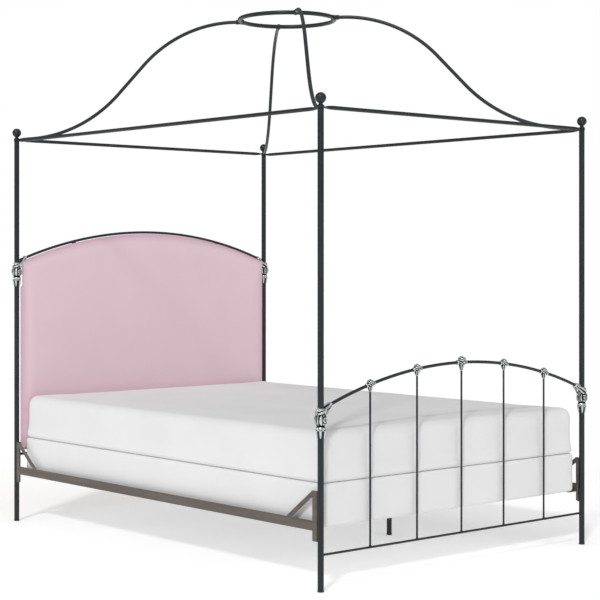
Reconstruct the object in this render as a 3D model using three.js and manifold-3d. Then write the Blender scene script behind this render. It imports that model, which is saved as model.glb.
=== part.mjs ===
// Queen size four poster canopy bed in painted iron, with a padded headboard, box spring and mattress.
// Millimetres. Origin on the floor under the middle of the bed, +Z up, head end towards +Y.

import * as THREE from 'three';
import { mergeVertices } from 'three/addons/utils/BufferGeometryUtils.js';
import Module from 'manifold-3d';

const wasm = await Module();
wasm.setup();

// Clearances
const FIT = 0.3;
const SOFT_GAP = 1;
const SOCKET_END_GAP = 2;

// Bedding
const MATTRESS_WIDTH = 1524;
const MATTRESS_LENGTH = 2090;
const MATTRESS_HEIGHT = 205;
const MATTRESS_CORNER = 34;
const MATTRESS_EDGE = 28;
const BOX_SPRING_HEIGHT = 167;
const BOX_SPRING_CORNER = 30;
const BOX_SPRING_EDGE = 12;

// Padded headboard panel
const PAD_THICKNESS = 16;
const PAD_POST_GAP = 2;
const PAD_RAIL_GAP = 2;
const PAD_EDGE = 13;
const PAD_CORNER = 12;
const PAD_BOTTOM = 335;
const PAD_NOTCH_GAP = 1.5;
const BOARD_THICKNESS = 12;
const BOARD_POCKET = 6;
const BOARD_INSET = 36;
const BOARD_CORNER = 10;
const PANEL_SCREW_X = 450;
const PANEL_SCREW_EDGE = 16;
const PANEL_SCREW_RADIUS = 2.5;
const PANEL_SCREW_HEAD_RADIUS = 6;
const PANEL_SCREW_HEAD_HEIGHT = 3;
const PANEL_SCREW_HEAD_TAPER = 2;
const PANEL_SCREW_BITE = 9;
const LUG_WIDTH = 24;
const LUG_THICKNESS = 3;
const LUG_TAIL = 12;

// Posts
const POST_RADIUS = 12;
const POST_BORE = 9.8;
const POST_SIDE_GAP = 18;
const POST_FOOT_GAP = 12.7;
const FOOT_POST_SPLIT = 1170;
const HEAD_POST_SPLIT = 1275;
const SPIGOT_LENGTH = 60;
const POST_TOP = 1811.7;
const POST_CAP = 12;
const STUD_RADIUS = 4;
const STUD_GRIP = 20;
const GLIDE_HEIGHT = 6;
const GLIDE_RADIUS = 12.6;
const GLIDE_STEM = 20;
const GLIDE_CHAMFER = 1;

// Canopy
const CANOPY_ROD_RADIUS = 7.95;
const EYELET_RADIUS = 14;
const EYELET_THICKNESS = 4;
const TAPER_START = 18;
const TAPER_END = 66;
const BALL_RADIUS = 21.5;
const FINIAL_NECK_RADIUS = 8.5;
const FINIAL_BASE_RADIUS = 11;
const FINIAL_NECK_HEIGHT = 8;
const FINIAL_LIP = 2.5;
const FINIAL_COVE = 2;
const FINIAL_BALL_SINK = 2.5;
const RING_RADIUS = 217;
const RING_TUBE = 9.5;
const RING_HEIGHT = 2345;
const RING_JOINT_ANGLE = 31.5;
const BOSS_RADIUS = 11.5;
const BOSS_LENGTH = 27;
const BOSS_KNOB_RADIUS = 12.5;
const ARM_SLOPE = 47;
const ARM_LOWER_SHARE = 0.52;
const ARM_STRAIGHT_FOOT = 40;
const ARM_STRAIGHT_TOP = 30;

// Headboard and footboard ironwork
const ARCH_RADIUS = 2140;
const ARCH_END_GAP = 5;
const ARCH_ROD_RADIUS = 6.35;
const HEAD_ARCH_TOP = 1386;
const FOOT_ARCH_TOP = 829;
const HEAD_RAIL_HEIGHT = 318;
const FOOT_RAIL_HEIGHT = 138;
const FOOT_RAIL_RADIUS = 4.75;
const SPINDLE_COUNT = 5;
const SPINDLE_RADIUS = 4;
const SPINDLE_SOCKET_GAP = 2;

// Corner castings, heights measured up from the casting's middle
const HEAD_CASTING_DROP = 62.5;
const FOOT_CASTING_DROP = 50.5;
const CASTING_TOP = 38;
const CASTING_BOTTOM = -76;
const CASTING_UPPER_BAND = [28, 34];
const CASTING_LOWER_BAND = [-40, -33];
const CASTING_SHOULDER = 24;
const CASTING_WAIST = -27;
const CASTING_BULB_HALF = 13.5;
const CASTING_BEAD = 4;
const CASTING_BULB_RADIUS = 23;
const CASTING_BULB_TAPER = 2.2;
const CASTING_BAND_RADIUS = 18.5;
const CASTING_SHOULDER_RADIUS = 16.5;
const CASTING_NECK_RADIUS = 15;
const CASTING_TOP_RADIUS = 14.5;
const CASTING_TIP_WALL = 1.2;
const CASTING_SCROLL_RADIUS = 10;
const CASTING_SCROLL_HALF = 7;
const CASTING_SCROLL_OUT = 17;
const CASTING_SCROLL_HEIGHT = -4;
const CASTING_LEAF_REACH = 50;
const CASTING_LEAF_CLIMB = 30;
const CASTING_LEAF_RADIUS = 11;
const CASTING_KNOB_RADIUS = 3.6;
const CASTING_KNOBS = 6;

// Spindle castings
const CENTRE_CASTING_SCALE = 1.25;
const SPINDLE_CASTING_WIDTH = 46;
const SPINDLE_CASTING_DOME = 17;
const SPINDLE_CASTING_DOME_RISE = 4;
const SPINDLE_CASTING_FRONT = 14;
const SPINDLE_CASTING_BACK = 10;
const SPINDLE_CASTING_EAR_RADIUS = 9.5;
const SPINDLE_CASTING_SHOULDER = 6;
const SPINDLE_CASTING_DROP = 27;
const SPINDLE_CASTING_TIP_WALL = 1.6;

// Side rails, bolted to the posts
const STEEL = 3;
const RAIL_HEIGHT = 38;
const RAIL_BOTTOM = 226;
const RAIL_FLANGE = 50;
const RAIL_POST_INSET = 3;
const RAIL_END_GAP = 37;
const PLATE_BOTTOM = 187;
const PLATE_TOP = 378;
const BRACE_WIDTH = 19;
const BRACE_REACH = 185;
const RAIL_BOLT_RISE = 18;
const RAIL_BOLT_RADIUS = 4;
const RAIL_BOLT_HEAD_RADIUS = 5.5;
const RAIL_BOLT_HEAD = 5;
const RAIL_BOLT_CHAMFER = 1;
const RAIL_BOLT_BITE = 6;

// Cross bars and the support leg
const CROSS_BAR_COUNT = 3;
const CROSS_BAR_WIDTH = 30;
const CROSS_BAR_DEPTH = 21;
const CROSS_BAR_NOTCH = 96;
const CROSS_BAR_FIRST = 714;
const CROSS_BAR_PITCH = 512;
const LEG_RADIUS = 11.5;
const LEG_BORE = 6.4;
const LEG_X = 305;
const LEG_SEAT_DEPTH = 90;
const LEVELLER_STUD_RADIUS = 6;
const LEVELLER_STUD_LENGTH = 74;
const LEVELLER_PAD_RADIUS = 12;
const LEVELLER_PAD_HEIGHT = 10;

// Facets
const POST_SIDES = 12;
const ROD_SIDES = 8;
const SMALL_SIDES = 6;
const ARM_STEPS = 22;
const ARCH_STEPS = 16;
const RING_STEPS = 36;
const FINIAL_RINGS = 6;
const CORNER_STEPS = 4;
const EDGE_STEPS = 2;
const PANEL_STEPS = 8;

// Places worked out from the sizes above
const HALF_X = MATTRESS_WIDTH / 2 + POST_SIDE_GAP;
const LUG_FRONT = ARCH_ROD_RADIUS - LUG_THICKNESS;
const PANEL_DEPTH = SOFT_GAP + PAD_THICKNESS + FIT + BOARD_THICKNESS + FIT - LUG_FRONT;
const HALF_Y = (POST_FOOT_GAP + MATTRESS_LENGTH + PANEL_DEPTH) / 2;
const MATTRESS_FOOT = -HALF_Y + POST_FOOT_GAP;
const MATTRESS_HEAD = MATTRESS_FOOT + MATTRESS_LENGTH;
const BOARD_BACK = HALF_Y + LUG_FRONT - FIT;
const BOARD_FRONT = BOARD_BACK - BOARD_THICKNESS;
const PAD_FRONT = MATTRESS_HEAD + SOFT_GAP;
const PAD_BACK = BOARD_FRONT - FIT + BOARD_POCKET;
const RAIL_OUTER = HALF_X + POST_RADIUS - RAIL_POST_INSET;
const RAIL_END = HALF_Y - RAIL_END_GAP;
const PLATE_FACE = HALF_Y - POST_RADIUS - FIT;
const CROSS_BAR_BASE = RAIL_BOTTOM + STEEL + FIT;
const BOX_SPRING_BASE = CROSS_BAR_BASE + STEEL + FIT;
const MATTRESS_BASE = BOX_SPRING_BASE + BOX_SPRING_HEIGHT + FIT;
const SPIGOT_RADIUS = POST_BORE - FIT;
const EYELET_PITCH = EYELET_THICKNESS + FIT;
const SIDE_RAIL_EYE = POST_TOP + FIT + EYELET_THICKNESS / 2;
const END_RAIL_EYE = SIDE_RAIL_EYE + EYELET_PITCH;
const ARM_EYE = END_RAIL_EYE + EYELET_PITCH;
const FINIAL_BASE = ARM_EYE + EYELET_THICKNESS / 2 + FIT;
const BALL_CENTRE = FINIAL_BASE + FINIAL_NECK_HEIGHT + BALL_RADIUS - FINIAL_BALL_SINK;
const STUD_TOP = FINIAL_BASE + STUD_GRIP;
const SPINDLE_PITCH = 2 * HALF_X / (SPINDLE_COUNT + 1);

const CORNERS = [
  { tag: 'foot_left', x: -1, y: -1 },
  { tag: 'foot_right', x: 1, y: -1 },
  { tag: 'head_left', x: -1, y: 1 },
  { tag: 'head_right', x: 1, y: 1 },
];

// Materials
const iron = () => new THREE.MeshStandardMaterial({ color: 0x22282b, roughness: 0.42, metalness: 0.5 });
const pewter = () => new THREE.MeshStandardMaterial({ color: 0x9aa09d, roughness: 0.38, metalness: 0.85 });
const railPaint = () => new THREE.MeshStandardMaterial({ color: 0x5d544e, roughness: 0.6, metalness: 0.4 });
const zinc = () => new THREE.MeshStandardMaterial({ color: 0x8c8f90, roughness: 0.4, metalness: 0.9 });
const plastic = () => new THREE.MeshStandardMaterial({ color: 0x161616, roughness: 0.6, metalness: 0 });
const pinkLinen = () => new THREE.MeshStandardMaterial({ color: 0xd0b8c1, roughness: 0.9, metalness: 0 });
const whiteTicking = () => new THREE.MeshStandardMaterial({ color: 0xe6e6e6, roughness: 0.9, metalness: 0 });
const plywood = () => new THREE.MeshStandardMaterial({ color: 0xb58f63, roughness: 0.8, metalness: 0 });

// ---- solids ----

// A closed three.js geometry as a manifold solid.
function solid(geometry) {
  const bare = geometry.clone();
  bare.deleteAttribute('normal');
  bare.deleteAttribute('uv');
  const merged = mergeVertices(bare, 1e-4);
  const mesh = new wasm.Mesh({
    numProp: 3,
    vertProperties: new Float32Array(merged.attributes.position.array),
    triVerts: new Uint32Array(merged.index.array),
  });
  return new wasm.Manifold(mesh);
}

// A manifold solid as a three.js geometry.
function geometryOf(manifold) {
  const mesh = manifold.getMesh();
  const geometry = new THREE.BufferGeometry();
  geometry.setAttribute('position', new THREE.BufferAttribute(mesh.vertProperties, 3));
  geometry.setIndex(new THREE.BufferAttribute(mesh.triVerts, 1));
  geometry.computeVertexNormals();
  return geometry;
}

// Joins the first solid to the others.
function join(first, ...others) {
  return others.reduce((all, next) => all.add(next), first);
}

// Cuts the others out of the first solid.
function cut(first, ...others) {
  return others.reduce((left, next) => left.subtract(next), first);
}

// The radius of a hole whose flats clear a round pin at any angle.
function holeFor(radius) {
  return (radius + FIT) / Math.cos(Math.PI / POST_SIDES);
}

// A box between two corners.
function box(low, high) {
  const size = high.map((value, axis) => value - low[axis]);
  const geometry = new THREE.BoxGeometry(...size);
  geometry.translate(...low.map((value, axis) => value + size[axis] / 2));
  return geometry;
}

// A solid of revolution about Z from a profile of [radius, height] points that goes up its outside.
function turned(profile, sides) {
  const points = profile.map(([radius, height]) => new THREE.Vector2(radius, height));
  const geometry = new THREE.LatheGeometry(points, sides);
  geometry.rotateX(Math.PI / 2);
  return geometry;
}

// A cylinder about Z between two heights.
function drum(radius, low, high, sides) {
  return turned([[0, low], [radius, low], [radius, high], [0, high]], sides);
}

// A cylinder from one point to another.
function pin(radius, from, to, sides) {
  const start = new THREE.Vector3(...from);
  const way = new THREE.Vector3(...to).sub(start);
  const geometry = drum(radius, 0, way.length(), sides);
  const turn = new THREE.Quaternion().setFromUnitVectors(new THREE.Vector3(0, 0, 1), way.normalize());
  geometry.applyQuaternion(turn);
  geometry.translate(start.x, start.y, start.z);
  return geometry;
}

// A ball with its centre at a point.
function ball(radius, centre) {
  const geometry = new THREE.SphereGeometry(radius, SMALL_SIDES, SMALL_SIDES / 2);
  geometry.rotateX(Math.PI / 2);
  geometry.translate(...centre);
  return geometry;
}

// A round rod along a curve.
function rodAlong(curve, radius, steps) {
  const section = new THREE.Shape();
  section.absarc(0, 0, radius, 0, 2 * Math.PI);
  const options = { steps, bevelEnabled: false, curveSegments: ROD_SIDES / 2, extrudePath: curve };
  return new THREE.ExtrudeGeometry(section, options);
}

// A rectangle in plan with round corners, from x and y limits.
function roundedPlan(left, right, near, far, corner) {
  const shape = new THREE.Shape();
  shape.moveTo(left + corner, near);
  shape.absarc(right - corner, near + corner, corner, -Math.PI / 2, 0);
  shape.absarc(right - corner, far - corner, corner, 0, Math.PI / 2);
  shape.absarc(left + corner, far - corner, corner, Math.PI / 2, Math.PI);
  shape.absarc(left + corner, near + corner, corner, Math.PI, 1.5 * Math.PI);
  return shape;
}

// A cushion block with round corners in plan and rolled top and bottom edges.
function cushionBlock(halfWidth, near, far, low, height, corner, edge) {
  const plan = roundedPlan(-halfWidth + edge, halfWidth - edge, near + edge, far - edge, corner - edge);
  const geometry = new THREE.ExtrudeGeometry(plan, {
    depth: height - 2 * edge,
    bevelThickness: edge,
    bevelSize: edge,
    bevelSegments: EDGE_STEPS,
    curveSegments: CORNER_STEPS,
  });
  geometry.translate(0, 0, low + edge);
  return geometry;
}

const group = new THREE.Group();

function addPiece(name, geometry, material) {
  const mesh = new THREE.Mesh(geometry, material);
  mesh.name = name;
  group.add(mesh);
  return mesh;
}

// ---- curves ----

// Height of an arch rail's centre line at a distance from the middle of the bed.
function archHeight(top, x) {
  return top - ARCH_RADIUS + Math.sqrt(ARCH_RADIUS ** 2 - x ** 2);
}

// The arch of the headboard or footboard, a shallow arc of a circle in the XZ plane.
class ArchCurve extends THREE.Curve {
  constructor(top, reach) {
    super();
    this.top = top;
    this.swing = Math.asin(reach / ARCH_RADIUS);
  }

  getPoint(t, target = new THREE.Vector3()) {
    const angle = (2 * t - 1) * this.swing;
    const drop = ARCH_RADIUS * (1 - Math.cos(angle));
    return target.set(ARCH_RADIUS * Math.sin(angle), 0, this.top - drop);
  }
}

// A canopy arm's S-shaped centre line in the XZ plane: level, curving up, straight, curving level again.
class OgeeCurve extends THREE.Curve {
  constructor(start, run, rise) {
    super();
    const slope = THREE.MathUtils.degToRad(ARM_SLOPE);
    const level = ARM_STRAIGHT_FOOT + ARM_STRAIGHT_TOP;
    const bendRun = run - level;
    const sine = Math.sin(slope);
    const lift = 1 - Math.cos(slope);
    // Both bends together have radius r and the straight has length d:
    // r sin + d cos = bendRun and r (1 - cos) + d sin = rise.
    const span = sine * sine - Math.cos(slope) * lift;
    const radii = (bendRun * sine - rise * Math.cos(slope)) / span;
    this.straight = (rise * sine - bendRun * lift) / span;
    this.lower = radii * ARM_LOWER_SHARE;
    this.upper = radii - this.lower;
    this.slope = slope;
    this.start = start;
    this.pieces = [ARM_STRAIGHT_FOOT, this.lower * slope, this.straight, this.upper * slope, ARM_STRAIGHT_TOP];
    this.total = this.pieces.reduce((sum, piece) => sum + piece, 0);
  }

  getPoint(t, target = new THREE.Vector3()) {
    let left = t * this.total;
    let x = 0;
    let z = this.start;
    const [foot, low, straight, high, top] = this.pieces;
    const sine = Math.sin(this.slope);
    const cosine = Math.cos(this.slope);
    x += Math.min(left, foot);
    left = Math.max(left - foot, 0);
    const lowAngle = Math.min(left, low) / this.lower;
    x += this.lower * Math.sin(lowAngle);
    z += this.lower * (1 - Math.cos(lowAngle));
    left = Math.max(left - low, 0);
    x += Math.min(left, straight) * cosine;
    z += Math.min(left, straight) * sine;
    left = Math.max(left - straight, 0);
    const highAngle = this.slope - Math.min(left, high) / this.upper;
    x += this.upper * (sine - Math.sin(highAngle));
    z += this.upper * (Math.cos(highAngle) - cosine);
    left = Math.max(left - high, 0);
    x += Math.min(left, top);
    return target.set(x, 0, z);
  }
}

// ---- posts ----

// The lower half of a post: a tube open at the floor end, with a spigot on top for the canopy post.
function lowerPost(split) {
  const boreTop = split - POST_CAP;
  return turned([
    [0, boreTop],
    [POST_BORE, boreTop],
    [POST_BORE, GLIDE_HEIGHT + FIT],
    [POST_RADIUS, GLIDE_HEIGHT + FIT],
    [POST_RADIUS, split],
    [SPIGOT_RADIUS, split],
    [SPIGOT_RADIUS, split + SPIGOT_LENGTH],
    [0, split + SPIGOT_LENGTH],
  ], POST_SIDES);
}

// The canopy half of a post: a tube over the spigot, closed on top by a plug with a threaded stud.
function canopyPost(split) {
  const boreTop = POST_TOP - POST_CAP;
  return turned([
    [0, boreTop],
    [POST_BORE, boreTop],
    [POST_BORE, split + FIT],
    [POST_RADIUS, split + FIT],
    [POST_RADIUS, POST_TOP],
    [STUD_RADIUS, POST_TOP],
    [STUD_RADIUS, STUD_TOP],
    [0, STUD_TOP],
  ], POST_SIDES);
}

// A plastic glide pushed into the foot of a post.
function glide() {
  const stem = POST_BORE - FIT;
  return turned([
    [0, 0],
    [GLIDE_RADIUS - GLIDE_CHAMFER, 0],
    [GLIDE_RADIUS, GLIDE_CHAMFER],
    [GLIDE_RADIUS, GLIDE_HEIGHT],
    [stem, GLIDE_HEIGHT],
    [stem, GLIDE_HEIGHT + GLIDE_STEM],
    [0, GLIDE_HEIGHT + GLIDE_STEM],
  ], POST_SIDES);
}

// A ball finial with a blind hole that screws down on the stud.
function finial() {
  const profile = [
    [0, STUD_TOP + FIT],
    [STUD_RADIUS + FIT, STUD_TOP + FIT],
    [STUD_RADIUS + FIT, FINIAL_BASE],
    [FINIAL_BASE_RADIUS, FINIAL_BASE],
    [FINIAL_BASE_RADIUS, FINIAL_BASE + FINIAL_LIP],
    [FINIAL_NECK_RADIUS, FINIAL_BASE + FINIAL_LIP + FINIAL_COVE],
  ];
  const from = Math.asin(FINIAL_NECK_RADIUS / BALL_RADIUS);
  for (let ring = 0; ring < FINIAL_RINGS; ring += 1) {
    const angle = from + (Math.PI - from) * ring / FINIAL_RINGS;
    profile.push([BALL_RADIUS * Math.sin(angle), BALL_CENTRE - BALL_RADIUS * Math.cos(angle)]);
  }
  profile.push([0, BALL_CENTRE + BALL_RADIUS]);
  return turned(profile, POST_SIDES);
}

// The hole in the bed side of a post for the side rail's bolt.
function railBoltHole(side) {
  const z = PLATE_BOTTOM + RAIL_BOLT_RISE;
  return solid(pin(holeFor(RAIL_BOLT_RADIUS), [0, -side * (POST_RADIUS + 1), z], [0, 0, z], POST_SIDES));
}

function addPosts() {
  for (const corner of CORNERS) {
    const split = corner.y > 0 ? HEAD_POST_SPLIT : FOOT_POST_SPLIT;
    const drilled = cut(solid(lowerPost(split)), railBoltHole(corner.y));
    const pieces = [
      addPiece(`post_lower_${corner.tag}`, geometryOf(drilled), iron()),
      addPiece(`post_canopy_${corner.tag}`, canopyPost(split), iron()),
      addPiece(`glide_${corner.tag}`, glide(), plastic()),
      addPiece(`finial_${corner.tag}`, finial(), iron()),
    ];
    for (const piece of pieces) {
      piece.position.set(corner.x * HALF_X, corner.y * HALF_Y, 0);
    }
  }
}

// ---- canopy ----

// Planes a rod's end down to a flat tongue and adds the eyelet that drops over the stud.
// The rod runs along +X from the post's centre at height z.
function flattenEnd(rod, z) {
  const half = EYELET_THICKNESS / 2;
  const wide = 2 * EYELET_RADIUS;
  const tall = 2 * CANOPY_ROD_RADIUS;
  const waste = (sign) => {
    const outline = new THREE.Shape();
    outline.moveTo(-wide, sign * half);
    outline.lineTo(TAPER_START, sign * half);
    outline.quadraticCurveTo(
      (TAPER_START + TAPER_END) / 2, sign * CANOPY_ROD_RADIUS, TAPER_END, sign * (CANOPY_ROD_RADIUS + FIT));
    outline.lineTo(TAPER_END, sign * tall);
    outline.lineTo(-wide, sign * tall);
    const prism = new THREE.ExtrudeGeometry(outline, { depth: 2 * wide, bevelEnabled: false, curveSegments: 5 });
    prism.translate(0, 0, -wide);
    prism.rotateX(Math.PI / 2);
    prism.translate(0, 0, z);
    return solid(prism);
  };
  const tongue = cut(rod, waste(1), waste(-1));
  const eyelet = solid(drum(EYELET_RADIUS, z - half, z + half, POST_SIDES));
  const hole = solid(drum(holeFor(STUD_RADIUS), z - tall, z + tall, POST_SIDES));
  return cut(join(tongue, eyelet), hole);
}

// A straight canopy rail between two posts, with an eyelet at each end, centred on its middle.
function canopyRail(length, z) {
  const rod = solid(pin(CANOPY_ROD_RADIUS, [0, 0, z], [length, 0, z], ROD_SIDES));
  const oneEnd = flattenEnd(rod, z);
  const turnedRound = oneEnd.rotate([0, 0, 180]).translate([length, 0, 0]);
  return flattenEnd(turnedRound, z).translate([-length / 2, 0, 0]);
}

function addCanopyRails() {
  for (const side of [-1, 1]) {
    const along = addPiece(
      `canopy_rail_${side < 0 ? 'left' : 'right'}`, geometryOf(canopyRail(2 * HALF_Y, SIDE_RAIL_EYE)), iron());
    along.rotation.z = Math.PI / 2;
    along.position.x = side * HALF_X;
    const across = addPiece(
      `canopy_rail_${side < 0 ? 'foot' : 'head'}`, geometryOf(canopyRail(2 * HALF_X, END_RAIL_EYE)), iron());
    across.position.y = side * HALF_Y;
  }
}

// Where a corner's arm meets the ring, and the arm's plan direction and run from the post.
function armLayout(corner) {
  const angle = THREE.MathUtils.degToRad(RING_JOINT_ANGLE);
  const post = new THREE.Vector2(corner.x * HALF_X, corner.y * HALF_Y);
  const joint = new THREE.Vector2(corner.x * Math.sin(angle), corner.y * Math.cos(angle));
  joint.multiplyScalar(RING_RADIUS);
  const way = joint.clone().sub(post);
  const seat = RING_TUBE + SOCKET_END_GAP;
  return { joint, yaw: way.angle(), run: way.length() - seat, seat };
}

// The ring at the top of the canopy, with a socket for each arm.
function canopyRing() {
  const hoop = new THREE.TorusGeometry(RING_RADIUS, RING_TUBE, ROD_SIDES, RING_STEPS);
  let ring = solid(hoop);
  const bores = [];
  for (const corner of CORNERS) {
    const { joint, yaw, seat } = armLayout(corner);
    const reach = (distance) => [joint.x - distance * Math.cos(yaw), joint.y - distance * Math.sin(yaw), 0];
    const socket = solid(pin(BOSS_RADIUS, reach(0), reach(BOSS_LENGTH), ROD_SIDES));
    ring = join(ring, socket, solid(ball(BOSS_KNOB_RADIUS, reach(0))));
    const bore = pin(holeFor(CANOPY_ROD_RADIUS), reach(seat - FIT), reach(BOSS_LENGTH + 1), POST_SIDES);
    bores.push(solid(bore));
  }
  return cut(ring, ...bores);
}

function addCanopyTop() {
  for (const corner of CORNERS) {
    const { yaw, run } = armLayout(corner);
    const curve = new OgeeCurve(ARM_EYE, run, RING_HEIGHT - ARM_EYE);
    const rod = solid(rodAlong(curve, CANOPY_ROD_RADIUS, ARM_STEPS));
    const arm = addPiece(`canopy_arm_${corner.tag}`, geometryOf(flattenEnd(rod, ARM_EYE)), iron());
    arm.rotation.z = yaw;
    arm.position.set(corner.x * HALF_X, corner.y * HALF_Y, 0);
  }
  const ring = addPiece('canopy_ring', geometryOf(canopyRing()), iron());
  ring.position.z = RING_HEIGHT;
}

// ---- castings ----

// The centre line of a corner casting's leaf, from its root to its tip on the arch rail. The post is at the
// origin, the rail goes off towards +X, and leafRise is the rail's height at the tip.
function leafLine(leafRise) {
  return [
    [CASTING_NECK_RADIUS, 0, leafRise - CASTING_LEAF_CLIMB],
    [CASTING_LEAF_REACH, 0, leafRise],
  ];
}

// A cast knuckle round a post: banded bulb, lower ring with a pendant leaf, and a leaf that grips the arch
// rail. railPath is the rail's own solid with clearance.
function cornerCasting(leafRise, railPath) {
  const bulb = CASTING_BULB_RADIUS;
  const [bandLow, bandHigh] = CASTING_LOWER_BAND;
  const body = solid(turned([
    [0, CASTING_BOTTOM],
    [POST_RADIUS + CASTING_TIP_WALL, CASTING_BOTTOM],
    [CASTING_NECK_RADIUS, bandLow - CASTING_BEAD],
    [CASTING_BAND_RADIUS, bandLow],
    [CASTING_BAND_RADIUS, bandHigh],
    [CASTING_NECK_RADIUS, CASTING_WAIST],
    [bulb - CASTING_BULB_TAPER, -CASTING_BULB_HALF],
    [bulb, 0],
    [bulb - CASTING_BULB_TAPER, CASTING_BULB_HALF],
    [CASTING_SHOULDER_RADIUS, CASTING_SHOULDER],
    [CASTING_BAND_RADIUS, CASTING_UPPER_BAND[0]],
    [CASTING_BAND_RADIUS, CASTING_UPPER_BAND[1]],
    [CASTING_TOP_RADIUS, CASTING_TOP],
    [0, CASTING_TOP],
  ], POST_SIDES));
  const leaf = solid(pin(CASTING_LEAF_RADIUS, ...leafLine(leafRise), ROD_SIDES));
  const scrollEnd = (side) => [CASTING_SCROLL_OUT, side * CASTING_SCROLL_HALF, CASTING_SCROLL_HEIGHT];
  const scroll = solid(pin(CASTING_SCROLL_RADIUS, scrollEnd(-1), scrollEnd(1), ROD_SIDES));
  let casting = join(body, leaf, scroll);
  for (let knob = 0; knob < CASTING_KNOBS; knob += 1) {
    const angle = (knob + 0.5) * 2 * Math.PI / CASTING_KNOBS;
    const x = CASTING_BAND_RADIUS * Math.cos(angle);
    const y = CASTING_BAND_RADIUS * Math.sin(angle);
    casting = join(casting, solid(ball(CASTING_KNOB_RADIUS, [x, y, (bandLow + bandHigh) / 2])));
  }
  const bore = solid(drum(POST_RADIUS + FIT, 2 * CASTING_BOTTOM, leafRise - CASTING_BOTTOM, POST_SIDES));
  return cut(casting, bore, railPath);
}

// A small casting where a spindle meets the arch rail: domed top, ears along the rail, tapering drop. It
// stands further out at the front than at the back, where the mattress passes it.
function spindleCasting(size, slope, hollows) {
  const front = size * SPINDLE_CASTING_FRONT;
  const dome = new THREE.SphereGeometry(1, ROD_SIDES, SMALL_SIDES);
  dome.rotateX(Math.PI / 2);
  dome.scale(size * SPINDLE_CASTING_DOME, (front + SPINDLE_CASTING_BACK) / 2, size * SPINDLE_CASTING_DOME);
  dome.translate(0, (SPINDLE_CASTING_BACK - front) / 2, size * SPINDLE_CASTING_DOME_RISE);
  const half = size * SPINDLE_CASTING_WIDTH / 2;
  const ears = pin(SPINDLE_CASTING_EAR_RADIUS, [-half, 0, slope * half], [half, 0, -slope * half], ROD_SIDES);
  const drop = turned([
    [0, -size * SPINDLE_CASTING_DROP],
    [SPINDLE_RADIUS + SPINDLE_CASTING_TIP_WALL, -size * SPINDLE_CASTING_DROP],
    [SPINDLE_CASTING_EAR_RADIUS, -SPINDLE_CASTING_SHOULDER],
    [SPINDLE_CASTING_EAR_RADIUS, SPINDLE_CASTING_DOME_RISE],
    [0, SPINDLE_CASTING_DOME_RISE],
  ], ROD_SIDES);
  return cut(join(solid(dome), solid(ears), solid(drop)), ...hollows);
}

// ---- headboard and footboard ----

// Half the length of an arch rail in plan; its ends stop inside the corner castings.
const ARCH_REACH = HALF_X - POST_RADIUS - ARCH_END_GAP;

function archRail(top, radius) {
  return solid(rodAlong(new ArchCurve(top, ARCH_REACH), radius, ARCH_STEPS));
}

// The arch rail with clearance all round and past its ends, as a cutting tool.
function archRailHollow(top) {
  const longer = new ArchCurve(top, HALF_X - POST_RADIUS);
  return solid(rodAlong(longer, ARCH_ROD_RADIUS + 2 * FIT, ARCH_STEPS));
}

// Height of a corner casting's middle, below the place where its leaf lets go of the arch rail.
function castingHeight(archTop, drop) {
  return archHeight(archTop, HALF_X - CASTING_LEAF_REACH) - drop;
}

function addCornerCastings(end, archTop, drop) {
  const y = end === 'head' ? HALF_Y : -HALF_Y;
  const middle = castingHeight(archTop, drop);
  for (const side of [-1, 1]) {
    const railPath = archRailHollow(archTop).translate([HALF_X, 0, -middle]);
    const casting = cornerCasting(drop, railPath);
    const tag = side < 0 ? 'left' : 'right';
    const piece = addPiece(`casting_${end}_${tag}`, geometryOf(casting), pewter());
    piece.rotation.z = side < 0 ? 0 : Math.PI;
    piece.position.set(side * HALF_X, y, middle);
  }
}

function addFootboard() {
  const arch = addPiece('foot_arch_rail', geometryOf(archRail(FOOT_ARCH_TOP, ARCH_ROD_RADIUS)), iron());
  arch.position.y = -HALF_Y;
  const reach = HALF_X - POST_RADIUS - FIT;
  const straight = pin(
    FOOT_RAIL_RADIUS, [-reach, 0, FOOT_RAIL_HEIGHT], [reach, 0, FOOT_RAIL_HEIGHT], ROD_SIDES);
  addPiece('foot_bottom_rail', straight, iron()).position.y = -HALF_Y;
  for (let index = 1; index <= SPINDLE_COUNT; index += 1) {
    const x = -HALF_X + index * SPINDLE_PITCH;
    const z = archHeight(FOOT_ARCH_TOP, x);
    const low = FOOT_RAIL_HEIGHT + FOOT_RAIL_RADIUS + FIT;
    const high = z - ARCH_ROD_RADIUS - SPINDLE_SOCKET_GAP;
    const spindle = addPiece(`spindle_${index}`, drum(SPINDLE_RADIUS, low, high, ROD_SIDES), iron());
    spindle.position.set(x, -HALF_Y, 0);
    const isCentre = 2 * index === SPINDLE_COUNT + 1;
    const hollows = [
      archRailHollow(FOOT_ARCH_TOP).translate([-x, 0, -z]),
      solid(drum(holeFor(SPINDLE_RADIUS), -3 * SPINDLE_CASTING_DROP, 0, POST_SIDES)),
    ];
    const slope = x / Math.sqrt(ARCH_RADIUS ** 2 - x ** 2);
    const casting = spindleCasting(isCentre ? CENTRE_CASTING_SCALE : 1, slope, hollows);
    addPiece(`spindle_casting_${index}`, geometryOf(casting), pewter()).position.set(x, -HALF_Y, z);
  }
  addCornerCastings('foot', FOOT_ARCH_TOP, FOOT_CASTING_DROP);
}

// A flat lug on the far side of a headboard rod, behind the panel.
function lug(x, low, high) {
  return solid(box([x - LUG_WIDTH / 2, LUG_FRONT, low], [x + LUG_WIDTH / 2, ARCH_ROD_RADIUS, high]));
}

// Height of the two screws that hold the headboard panel, below its board's top edge.
const BOARD_TOP_DROP = ARCH_ROD_RADIUS + PAD_RAIL_GAP + BOARD_INSET;
const PANEL_SCREW_HEIGHT = archHeight(HEAD_ARCH_TOP, PANEL_SCREW_X) - BOARD_TOP_DROP - PANEL_SCREW_EDGE;

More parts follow.
